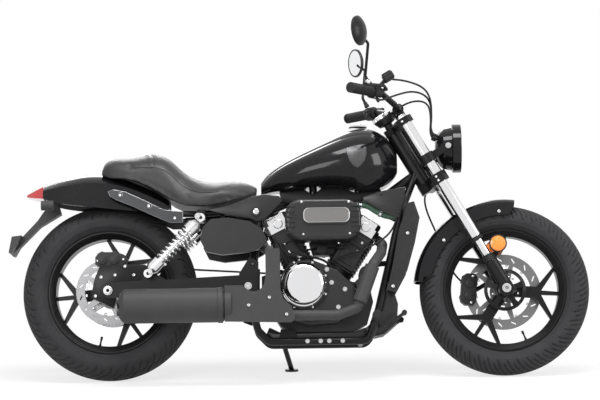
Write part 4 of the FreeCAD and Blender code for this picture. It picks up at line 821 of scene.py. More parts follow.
class CRUISER_OT_tyres(Step):
    """Moulds both tyres with their tread grooves and sidewall rings."""
    bl_idname = "cruiser.tyres"
    bl_label = "Tyres"

    CROWN_RADIUS, CROWN_SPREAD = 0.075, math.radians(40)
    ROOT_RADIUS, BEAD_RADIUS, BEAD_INSET = 0.215, 0.2035, 0.0073
    SIDEWALL_POINTS, CROWN_POINTS = 21, 45
    SIDEWALL_RINGS = ((1.63, 1.69), (1.87, 1.98))        # between these tread shares
    # Groove sets: (shift of a pitch, first and last tread share, half width in radians).
    FRONT_GROOVES = ((0.0, 0.10, 1.55, 0.0120), (0.5, 0.42, 1.36, 0.0090))
    REAR_GROOVES = ((0.0, 0.30, 1.48, 0.0120), (0.5, 0.62, 1.34, 0.0085))

    def section(self, outer, half, rim_half):
        """Points (radius, across, tread share) from one bead to the other.

        The share is 1 and -1 at the crown's edges, and 2.2 and -2.2 at the beads.
        """
        crown, spread = self.CROWN_RADIUS, self.CROWN_SPREAD
        root, bead = self.ROOT_RADIUS, rim_half - self.BEAD_INSET
        edge = np.array((outer - crown + crown * math.cos(spread), crown * math.sin(spread)))
        foot = np.array((root, bead))
        chord = edge - foot
        long = math.hypot(*chord)
        bulge = half - (bead + edge[1]) / 2
        radius = long * long / (8 * bulge) + bulge / 2
        square = np.array((chord[1], -chord[0])) / long
        middle = (edge + foot) / 2 + square * math.sqrt(radius ** 2 - long ** 2 / 4)
        first = math.atan2(foot[1] - middle[1], foot[0] - middle[0])
        last = math.atan2(edge[1] - middle[1], edge[0] - middle[0])
        side = [(middle[0] + radius * math.cos(a), middle[1] + radius * math.sin(a), 0.0)
                for a in np.linspace(first, last, self.SIDEWALL_POINTS)]
        top = [(outer - crown + crown * math.cos(a), crown * math.sin(a), a / spread)
               for a in np.linspace(spread, -spread, self.CROWN_POINTS)[1:-1]]
        side = [(self.BEAD_RADIUS, bead, 0.0)] + side
        other = [(r, -y, 0.0) for r, y, _ in reversed(side)]
        rows = np.array(side + top + other)
        rows[:len(side), 2] = np.linspace(2.2, 1.0, len(side))
        rows[-len(side):, 2] = np.linspace(-1.0, -2.2, len(side))
        return rows

    def groove_set(self, swept, reach, pitch, sets):
        """How deep the grooves are, from 0 to 1, at places that are swept along their lines."""
        depth = np.zeros_like(swept)
        for shift, low, high, wide in sets:
            phase = (swept / pitch + shift + 0.5) % 1.0 - 0.5
            across = np.clip(1.25 - np.abs(phase) * pitch / wide, 0, 1)
            along = np.clip((reach - low) * 12, 0, 1) * np.clip((high - reach) * 12, 0, 1)
            depth = np.maximum(depth, np.clip(across * 1.6, 0, 1) * along)
        return depth

    def front_depth(self, turn, share, count):
        """Long curved grooves that sweep back from the middle, with short ones between them."""
        reach, pitch = np.abs(share), 2 * math.pi / count
        swept = turn - np.sign(share) * pitch * 0.25 - 0.10 * reach ** 1.3
        return self.groove_set(swept, reach, pitch, self.FRONT_GROOVES)

    def rear_depth(self, turn, share, count):
        """Bent grooves across each half and a wavy groove each side of the middle."""
        reach, pitch = np.abs(share), 2 * math.pi / count
        swept = turn - np.sign(share) * pitch * 0.25 + 0.09 * reach - 0.05 * np.sin(reach * 3.4)
        bent = self.groove_set(swept, reach, pitch, self.REAR_GROOVES)
        wave = reach - 0.24 - 0.035 * np.sin(turn * count)
        ring = np.clip(1.4 - np.abs(wave) / 0.028, 0, 1)
        return np.maximum(bent, np.clip(ring * 1.5, 0, 1) * (reach < 0.5))

    def tyre(self, settings, end, wheel, outer, half, rim_half, depth_at, count):
        """One tyre; end is front or rear, half and rim_half are its half widths."""
        rows = self.section(outer, half, rim_half)
        steps = settings.steps
        turn = np.linspace(0, 2 * math.pi, steps, endpoint=False)[:, None]
        share = rows[None, :, 2]
        depth = depth_at(turn + 0 * share, share + 0 * turn, count) * settings.groove
        outward = np.gradient(rows[:, :2], axis=0)
        outward = np.stack((outward[:, 1], -outward[:, 0]), 1)
        outward /= -np.linalg.norm(outward, axis=1)[:, None]
        for low, high in self.SIDEWALL_RINGS:
            ring = (np.abs(share) > low) & (np.abs(share) < high)
            depth = np.where(ring, settings.groove * 0.3, depth)
        depth[:, :2] = 0
        depth[:, -2:] = 0
        radius = rows[None, :, 0] - outward[None, :, 0] * depth
        across = rows[None, :, 1] - outward[None, :, 1] * depth
        spots = np.stack((radius * np.sin(turn), across, radius * np.cos(turn)), 2).reshape(-1, 3)
        columns = len(rows)
        index = np.arange(steps * columns).reshape(steps, columns)
        after = np.roll(index, -1, axis=0)
        quads = np.stack((index[:, :-1], index[:, 1:], after[:, 1:], after[:, :-1]), 2)
        inner = np.stack((index[:, -1], index[:, 0], after[:, 0], after[:, -1]), 1)
        form = Form(wheel)
        form.points = [Vector(spot) for spot in spots]
        form.faces = [tuple(face) for face in np.vstack((quads.reshape(-1, 4), inner)).tolist()]
        piece = form.build(f"{end}_tyre_tread", f"{end}_wheel", "tyre_rubber", angle=42)
        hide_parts(f"{end}_tyre")

    def make(self, scene):
        settings = scene.cruiser_tyres
        self.tyre(settings, "front", FRONT_WHEEL, FRONT_RADIUS, 0.060, 0.046, self.front_depth,
                  settings.front_blocks)
        self.tyre(settings, "rear", REAR_WHEEL, REAR_RADIUS, 0.075, 0.060, self.rear_depth,
                  settings.rear_blocks)


class CRUISER_OT_wheels(Step):
    """Adds the disc and hub bolts, the valves and the rear pulley's teeth."""
    bl_idname = "cruiser.wheels"
    bl_label = "Wheels"

    PULLEY_TEETH = 66

    def ring_of_bolts(self, form, count, radius, face, side, head, start=0.0):
        for i in range(count):
            turn = start + 2 * math.pi * i / count
            spot = (radius * math.sin(turn), face, radius * math.cos(turn))
            form.button_head(spot, (0, side, 0), head)

    def make(self, scene):
        front = Form(FRONT_WHEEL)
        self.ring_of_bolts(front, 5, 0.042, 0.0632, 1, 0.0052, 0.3)
        self.ring_of_bolts(front, 10, 0.0955, 0.0632, 1, 0.0055, 0.15)
        self.ring_of_bolts(front, 5, 0.046, -0.0556, -1, 0.0042, 0.62)
        front.build("front_wheel_bolts", "front_wheel", "bright_steel")
        rear = Form(REAR_WHEEL)
        self.ring_of_bolts(rear, 5, 0.042, -0.0892, -1, 0.0056, 0.3)
        self.ring_of_bolts(rear, 10, 0.0795, -0.0892, -1, 0.0052, 0.15)
        self.ring_of_bolts(rear, 5, 0.042, 0.0982, 1, 0.0066, 0.3)
        rear.build("rear_wheel_bolts", "rear_wheel", "bright_steel")
        for end, wheel, turn in (("front", FRONT_WHEEL, 2.745), ("rear", REAR_WHEEL, 3.35)):
            out, _ = spoke(turn)
            stem = Form(wheel)
            stem.lathe([(0.0048, 0.0), (0.0048, -0.006), (0.0032, -0.008), (0.0032, -0.024),
                        (0.0044, -0.025), (0.0044, -0.035), (0, -0.036)], out * 0.190, out, 16)
            stem.build(f"{end}_valve", f"{end}_wheel", "black_rubber")
        teeth = Form(REAR_WHEEL)
        for i in range(self.PULLEY_TEETH):
            out, along = spoke(2 * math.pi * i / self.PULLEY_TEETH)
            corners = [out * r + along * w for r, w in (
                (0.0935, -0.0026), (0.0935, 0.0026), (0.090, 0.0014), (0.090, -0.0014))]
            teeth.skin([[corner + Vector((0, y, 0)) for corner in corners] for y in (0.087, 0.109)])
        teeth.build("rear_pulley_teeth", "rear_wheel", "bright_steel")


class CRUISER_OT_fork(Step):
    """Adds the fork's dust seals and bolts, the front axle's rims and the reflectors' faces."""
    bl_idname = "cruiser.fork"
    bl_label = "Fork"

    # The fender's half width, two gaps, the room to the bracket, and the bracket with its lamp.
    REFLECTOR_FACE = LEG_HALF - 0.028 + 0.0006 + 0.006 + 0.030

    def make(self, scene):
        seals = Form(FORK)
        for side in SIDES:
            leg = (LEG_LEAD, side * LEG_HALF, 0.0)
            seals.lathe([(0.0153, 0.1102), (0.019, 0.1108), (0.0205, 0.116), (0.0188, 0.120),
                         (0.0205, 0.124), (0.0188, 0.128), (0.0205, 0.132), (0.0165, 0.137),
                         (0.0153, 0.137)], leg, UP, 40)
            seals.lathe([(0.0153, 0.2112), (0.0212, 0.2088), (0.0225, 0.2048), (0.0222, 0.198),
                         (0.0185, 0.1955), (0.0153, 0.1958)], leg, UP, 40)
        seals.build("fork_seals", "steering", "black_rubber")
        bolts = Form(FORK)
        for side in SIDES:
            for across, along in ((0.1272, 0.446), (0.1272, 0.461), (0.1275, 0.689)):
                bolts.button_head((-0.005, side * across, along), (-0.22, side, 0), 0.0052)
            bolts.lathe([(0, 0.704), (0.0175, 0.704), (0.0175, 0.7075), (0.0125, 0.7115),
                         (0.0125, 0.7135), (0, 0.7135)], (LEG_LEAD, side * LEG_HALF, 0), UP, 6)
            for ahead, along, radius in ((0.029, 0.002, 0.0052), (0.0286, 0.030, 0.0045),
                                         (0.0286, 0.064, 0.0045)):
                bolts.button_head((ahead, side * LEG_HALF, along), FORWARD, radius)
        bolts.build("fork_bolts", "steering", "bright_steel")
        nuts = Form(FRONT_WHEEL)
        for side in SIDES:
            nuts.lathe([(0.006, 0), (0.0155, 0), (0.0155, 0.002), (0.0128, 0.0042),
                        (0.006, 0.0042)], (0, side * 0.136, 0), (0, side, 0), 32)
        nuts.build("front_axle_rims", "steering", "bright_steel")
        for name, material, profile, steps in (
                ("side_reflector_rims", "black_plastic",
                 [(0.0284, -0.010), (0.0312, -0.008), (0.0312, 0.0012), (0.0296, 0.0034),
                  (0.0272, 0.0034), (0.0272, -0.001)], 48),
                ("side_reflector_faces", "amber_lens",
                 [(0.0272, 0.0), (0.0272, 0.0015), (0.022, 0.0032), (0.012, 0.0046), (0, 0.0052)],
                 40)):
            reflectors = Form(FORK)
            for side in SIDES:
                reflectors.lathe(profile, (0.059, side * self.REFLECTOR_FACE, 0.150),
                                 (0, side, 0), steps)
            reflectors.build(name, "steering", material)


class CRUISER_OT_bars(Step):
    """Adds ribbed grips, switches, reservoir cap, lever pivots, riser bolts and mirror glasses."""
    bl_idname = "cruiser.bars"
    bl_label = "Handlebar"

    INNER = Vector((-0.026, 0.235, 0.800))
    OUTER = Vector((-0.116, 0.375, 0.853))
    SWITCH_RADIUS = 0.0238

    def at(self, side, along, off=(0, 0, 0)):
        """A place along one half of the bar, moved by off, and the way that the bar runs."""
        way = (self.OUTER - self.INNER).normalized()
        spot = self.INNER + way * along + Vector(off)
        return Vector((spot.x, spot.y * side, spot.z)), Vector((way.x, way.y * side, way.z))

    def grips(self):
        form = Form(FORK)
        for side in SIDES:
            start, way = self.at(side, 0.0612)
            profile = [(0.0166, 0.0), (0.0200, 0.0005), (0.0200, 0.0045), (0.0172, 0.0055)]
            for i in range(17):
                low = 0.008 + i * 0.0057
                profile += [(0.0172, low), (0.0184, low + 0.0009), (0.0184, low + 0.0034),
                            (0.0172, low + 0.0043)]
            profile += [(0.0178, 0.1085), (0.0166, 0.1092)]
            form.lathe(profile, start, way, 36)
        form.build("grips", "steering", "black_rubber", angle=30)

    def switches(self):
        form = Form(FORK)
        for side in SIDES:
            centre, way = self.at(side, 0.042)
            back = Vector((-1, 0, 0.25))
            back = (back - way * back.dot(way)).normalized()
            up = way.cross(back) * side
            for shift, lift, size in ((0.008, 0.35, 0.0055), (-0.004, 0.1, 0.0065),
                                      (-0.004, 0.62, 0.0045)):
                ray = (back * math.cos(lift) + up * math.sin(lift)).normalized()
                form.lathe([(0, 0.0), (size, 0.0), (size, 0.0030), (size * 0.8, 0.0042),
                            (0, 0.0042)], centre + way * shift + ray * self.SWITCH_RADIUS, ray, 20)
        form.build("switch_buttons", "steering", "grey_plastic")

    def metal(self):
        form = Form(FORK)
        for side in SIDES:
            pivot, _ = self.at(side, 0.015, (0.036, 0, -0.004))
            form.button_head(pivot + Vector((0, 0, 0.0062)), UP, 0.0058)
            tip, way = self.at(side, 0.165, (0.054, 0, -0.008))
            form.lathe([(0, 0.009), (0.005, 0.0075), (0.0078, 0.003), (0.0078, -0.003),
                        (0.0056, -0.006)], tip, way, 20)
            for ahead in (-0.011, 0.011):
                form.button_head((0.012 + ahead, side * 0.045, 0.7608), UP, 0.0045)
            for turn in (0.9, -0.9):
                spot, way = self.at(side, 0.042)
                low = Vector((0, 0, -1)) + way * way.z
                spot += low.normalized() * self.SWITCH_RADIUS
                form.button_head(spot + way * turn * 0.012, low, 0.003)
        for ahead in (0.010, 0.038):
            for across in (-0.256, -0.220):
                form.button_head((ahead, across, 0.8532), UP, 0.003)
        form.build("handlebar_bolts", "steering", "bright_steel")
        cap = Form(FORK)
        outline = [(0.0075, -0.2585), (0.0405, -0.2585), (0.0405, -0.2175), (0.0075, -0.2175)]
        cap.skin([[(x, y, height) for x, y in outline] for height in (0.8498, 0.8532)])
        cap.build("reservoir_cap", "steering", "black_plastic", bevel=0.0012)
        window = Form(FORK)
        window.lathe([(0, 0.0), (0.006, 0.0), (0.006, 0.0012), (0, 0.0018)],
                     (0.0036, -0.238, 0.836), (-1, 0, 0), 24)
        window.build("reservoir_window", "steering", "clear_lens")

    def mirrors(self):
        glass, nuts = Form(FORK), Form(FORK)
        for side in SIDES:
            centre = Vector((0.008, side * 0.352, 1.014))
            normal = Vector((-0.80, side * -0.45, 0.40)).normalized()
            glass.lathe([(0, 0.0016), (0.0462, 0.0012), (0.0466, 0.0004), (0.0466, 0.0)], centre,
                        normal, 64)
            nuts.lathe([(0.0468, 0.0), (0.0468, 0.0014), (0.0482, 0.0024), (0.0512, 0.0024),
                        (0.0522, 0.0008), (0.0522, -0.003)], centre, normal, 64)
            foot = self.at(side, 0.040, (0, 0, 0.027))[0]
            nuts.lathe([(0.0052, 0.0), (0.0092, 0.0), (0.0092, 0.009), (0.0072, 0.0105),
                        (0.0072, 0.020), (0.0052, 0.022)], foot + Vector((0, 0, 0.001)),
                       (0.05, side * -0.1, 1), 6)
        glass.build("mirror_glasses", "steering", "mirror_glass")
        nuts.build("mirror_rims", "steering", "black_plastic")

    def make(self, scene):
        self.grips()
        self.switches()
        self.metal()
        self.mirrors()


class CRUISER_OT_lamps(Step):
    """Builds the headlamp's bowl, bars and glass, and the instrument's dial."""
    bl_idname = "cruiser.lamps"
    bl_label = "Lamps and dial"

    LAMP = Vector((1.243, 0, 0.808))
    LENS_RADIUS = 0.0755
    FIRST_MARK, SWEEP, NEEDLE = -130, 260, -126        # degrees round the dial
    NUMBERS, MARKS_BETWEEN = 9, 5

    def clock(self, degrees):
        """The ways out of the dial's middle and along its edge, at an angle round it."""
        turn = math.radians(degrees)
        out = Vector((-math.cos(turn), -math.sin(turn), 0))
        return out, Vector((out.y, -out.x, 0))

    def headlamp(self):
        bowl = Form()
        bowl.lathe([(0.0755, -0.0018), (0.0742, -0.0040), (0.060, -0.0085), (0.030, -0.0108),
                    (0.019, -0.0112), (0.019, -0.0117), (0.0757, -0.0117)], self.LAMP, FORWARD, 96)
        bowl.build("headlamp_bowl", "steering", "chrome")
        bulbs = Form()
        bulbs.lathe([(0.0185, -0.0116), (0.0185, -0.0070), (0.0165, -0.0052), (0, -0.0040)],
                    self.LAMP, FORWARD, 40)
        bulbs.build("headlamp_projector", "steering", "black_plastic")
        fins = Form()
        for z in (-0.042, 0.042):
            fins.prism([(self.LAMP.x - back, self.LAMP.z + z + lift) for back, lift in (
                (0.0092, -0.0012), (0.0046, -0.0012), (0.0046, 0.0012), (0.0092, 0.0012))],
                       -0.052, 0.052)
        fins.build("headlamp_bars", "steering", "black_plastic")
        glass = Form()
        dome = [(self.LENS_RADIUS, -0.0012), (0.0745, -0.0002)]
        for i in range(12):
            radius = 0.0735 * (1 - i / 12)
            dome.append((radius, 0.0052 * (1 - (radius / self.LENS_RADIUS) ** 2)))
        inner = [(radius, along - 0.0016) for radius, along in reversed(dome[1:])]
        glass.lathe(dome + [(0, 0.0053)], self.LAMP, FORWARD, 96)
        glass.lathe([(0, 0.0037)] + inner + [(self.LENS_RADIUS, -0.0012)], self.LAMP, FORWARD, 96)
        lens = glass.build("headlamp_glass", "steering", "clear_lens")
        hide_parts("headlight_lens")
        ring = Form()
        ring.lathe([(0.0768, 0.0002), (0.0775, 0.0022), (0.0815, 0.0034), (0.0852, 0.0022),
                    (0.0862, 0.0)], self.LAMP, FORWARD, 96)
        ring.build("headlamp_ring", "steering", "gloss_paint")
        bolts = Form()
        for side in SIDES:
            bolts.hex_head((self.LAMP.x - 0.045, side * 0.0942, self.LAMP.z), (0, side, 0), 0.0075)
        bolts.build("headlamp_bolts", "steering", "bright_steel")

    def dial(self):
        centre = Vector((-0.042, 0, 0.7093))
        face = Form(FORK)
        face.lathe([(0, 0.0424), (0.0346, 0.0424)], centre, UP, 64)
        face.build("dial_face", "steering", "dial_black")
        marks = Form(FORK)
        steps = (self.NUMBERS - 1) * self.MARKS_BETWEEN
        for i in range(steps + 1):
            long, wide = (0.0028, 0.00032) if i % self.MARKS_BETWEEN else (0.0052, 0.0006)
            out, along = self.clock(self.FIRST_MARK + i * (self.SWEEP / steps))
            middle = centre + Vector((0, 0, 0.0427))
            marks.faces.append(tuple(marks.loop([
                middle + out * r + along * w
                for r, w in ((0.0318, -wide), (0.0318, wide), (0.0318 - long, wide),
                             (0.0318 - long, -wide))])))
        marks.build("dial_marks", "steering", "dial_white", angle=20)
        out, along = self.clock(self.NEEDLE)
        hand = Form(FORK)
        top = centre + Vector((0, 0, 0.0434))
        tip = top + out * 0.027
        hand.faces.append(tuple(hand.loop([top + along * 0.0011, top - along * 0.0011,
                                           tip - along * 0.0003, tip + along * 0.0003])))
        hand.lathe([(0.0042, 0.0424), (0.0042, 0.0442), (0.003, 0.045), (0, 0.045)], centre, UP, 24)
        hand.build("dial_hand", "steering", "amber_lens")
        screen = Form(FORK)
        corners = ((0.006, -0.012), (0.006, 0.012), (0.018, 0.012), (0.018, -0.012))
        screen.skin([[centre + Vector((x, y, z)) for x, y in corners] for z in (0.0424, 0.0429)])
        screen.build("dial_screen", "steering", "mirror_glass")
        for number in range(self.NUMBERS):
            text = bpy.data.curves.new("dial_number", "FONT")
            text.body = str(number * 20)
            text.size = 0.0052
            text.align_x, text.align_y = "CENTER", "CENTER"
            item = bpy.data.objects.new(f"dial_number_{number}", text)
            bpy.context.scene.collection.objects.link(item)
            out, _ = self.clock(self.FIRST_MARK + number * (self.SWEEP / (self.NUMBERS - 1)))
            spot = centre + out * 0.0232 + Vector((0, 0, 0.0428))
            item.matrix_world = FORK @ axes(Vector((0, -1, 0)), AHEAD, Vector(UP), spot)
            text.materials.append(finish("dial_white"))
            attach(item, "steering")
        rim = Form(FORK)
        rim.lathe([(0.0347, 0.0462), (0.0352, 0.0478), (0.0378, 0.0486), (0.0398, 0.0478),
                   (0.0404, 0.0455), (0.0404, 0.036)], centre, UP, 72)
        rim.build("dial_rim", "steering", "chrome")
        glass = Form(FORK)
        glass.lathe([(0.0347, 0.0462), (0.020, 0.0470), (0, 0.0473)], centre, UP, 48)
        glass.build("dial_glass", "steering", "clear_lens")

    def make(self, scene):
        self.headlamp()
        self.dial()


class CRUISER_OT_saddle(Step):
    """Swells the saddle's foam under its cover and sews on the seams and piping."""
    bl_idname = "cruiser.saddle"
    bl_label = "Saddle"

    COVER, SWELL_BELOW = 0.0025, 0.0008
    CLOTH_FRAMES = 20

    def top_of(self, pad, x, y=0.0):
        return cast(pad, (x, y, 1.2), (0, 0, -1))[0]

    def foam(self, scene):
        settings = scene.cruiser_saddle
        mesh = NODES["seat"].data.copy()
        pad = bpy.data.objects.new("saddle", mesh)
        scene.collection.objects.link(pad)
        shrink = bmesh.new()
        shrink.from_mesh(mesh)
        bmesh.ops.remove_doubles(shrink, verts=shrink.verts, dist=1e-5)
        shrink.normal_update()
        for vertex in shrink.verts:
            vertex.co -= vertex.normal * self.COVER
        shrink.to_mesh(mesh)
        shrink.free()
        remesh = pad.modifiers.new("Foam", "REMESH")
        remesh.mode = "VOXEL"
        remesh.voxel_size = settings.voxel
        apply_modifiers(pad)
        start = np.array([tuple(vertex.co) for vertex in pad.data.vertices])
        facing = np.array([tuple(vertex.normal) for vertex in pad.data.vertices])
        cloth = pad.modifiers.new("Cover", "CLOTH")
        cloth.settings.quality = 6
        cloth.settings.use_pressure = True
        cloth.settings.uniform_pressure_force = settings.pressure
        cloth.settings.effector_weights.gravity = 0
        cloth.collision_settings.use_collision = False
        cloth.point_cache.frame_start = 1
        cloth.point_cache.frame_end = self.CLOTH_FRAMES
        for number in range(1, self.CLOTH_FRAMES + 1):
            scene.frame_set(number)
        apply_modifiers(pad)
        scene.frame_set(1)
        swollen = np.array([tuple(vertex.co) for vertex in pad.data.vertices])
        move = swollen - start
        far = np.linalg.norm(move, axis=1)
        cap = np.where(facing[:, 2] < -0.25, self.SWELL_BELOW, settings.swell)
        move *= (np.minimum(far, cap) / np.maximum(far, 1e-9))[:, None]
        pad.data.vertices.foreach_set("co", (start + move).ravel())
        pad.data.update()
        smooth = pad.modifiers.new("Even", "SMOOTH")
        smooth.factor = 0.5
        smooth.iterations = 4
        apply_modifiers(pad)
        fine = pad.modifiers.new("Finer", "SUBSURF")
        fine.levels = fine.render_levels = 1
        apply_modifiers(pad)
        pad.data.shade_smooth()
        pad.data.materials.clear()
        pad.data.materials.append(finish("saddle_cover"))
        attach(pad, "chassis")
        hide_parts("seat")
        return pad

    def make(self, scene):
        piping = scene.cruiser_saddle.piping
        pad = self.foam(scene)
        lines, stitches = [], Form()
        for x in (0.128, 0.146):
            lines.append(section_line(pad, x, self.top_of(pad, x).z - 0.06, -88, 88, 61, 0.02))
        for x in (0.121, 0.153):
            line = section_line(pad, x, self.top_of(pad, x).z - 0.06, -88, 88, 97, 0.02)
            for i in range(0, len(line) - 1, 2):
                stitches.tube([line[i], line[i].lerp(line[i + 1], 0.75)], 0.0007, 6)
        for side in SIDES:
            edge = []
            for i in range(46):
                x = 0.09 + 0.30 * i / 45
                top = self.top_of(pad, x, side * 0.02).z
                z = top - 0.045 - 0.012 * math.sin(i / 45 * math.pi)
                spot, normal = cast(pad, (x, side * 0.5, z), (0, -side, 0))
                edge.append(spot + normal * 0.0004)
            lines.append(edge)
        seam("saddle_piping", lines, piping, "chassis", "piping_vinyl")
        stitches.build("saddle_stitches", "chassis", "thread")


class CRUISER_OT_tank(Step):
    """Adds the tank's two bare shields and the trim of its filler cap."""
    bl_idname = "cruiser.tank"
    bl_label = "Tank"

    SHIELD = ((-34, 36), (-17, 31), (0, 38), (17, 31), (33, 37), (34, 12), (27, -12), (14, -29),
              (0, -38), (-14, -29), (-27, -12), (-35, 12))

    def shield(self, side):
        form = Form()
        outline = []
        for (x, z), (u, w) in zip(self.SHIELD, self.SHIELD[1:] + self.SHIELD[:1]):
            outline += [(x + (u - x) * k / 4, z + (w - z) * k / 4) for k in range(4)]
        centre = Vector((0.875, 0, 0.765))
        rows = []
        # Each ring is (its share of the outline's size, its height above the tank's skin).
        for share, lift in ((1.0, -0.001), (1.0, 0.0016), (0.965, 0.0024), (0.89, 0.0024),
                            (0.865, 0.0011), (0.60, 0.0014), (0.30, 0.0016), (0.0, 0.0017)):
            row = []
            for x, z in outline if share else outline[:1]:
                spot, normal = on_side(NODES["fuel_tank"], centre.x + x * share / 1000,
                                       centre.z + z * share / 1000, side)
                row.append(spot + normal * lift)
            rows.append(form.loop(row))
        for first, second in zip(rows, rows[1:-1]):
            form.bridge(first, second)
        count = len(outline)
        form.faces += [(rows[-2][i], rows[-2][(i + 1) % count], rows[-1][0]) for i in range(count)]
        name = "left" if side > 0 else "right"
        form.build(f"tank_shield_{name}", "chassis", "shield_metal", angle=30)

    def make(self, scene):
        for side in SIDES:
            self.shield(side)
        cap = NODES["tank_cap"]
        low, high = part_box("tank_cap")
        top = UPRIGHT.inverted() @ ((Vector(low) + Vector(high)) / 2)
        spot = cast(cap, (top.x, top.y, 1.2), (0, 0, -1))[0]
        ring = Form()
        centre = Vector((top.x, 0, spot.z))
        for i in range(30):
            turn = 2 * math.pi * i / 30
            out = Vector((math.cos(turn), math.sin(turn), 0))
            ring.button_head(centre + out * 0.021 - Vector((0, 0, 0.0006)), UP, 0.0014)
        ring.lathe([(0, 0.0002), (0.010, 0.0002), (0.0105, 0.0012), (0.009, 0.0022), (0, 0.0024)],
                   centre, UP, 32)
        ring.build("tank_cap_trim", "chassis", "bright_steel")


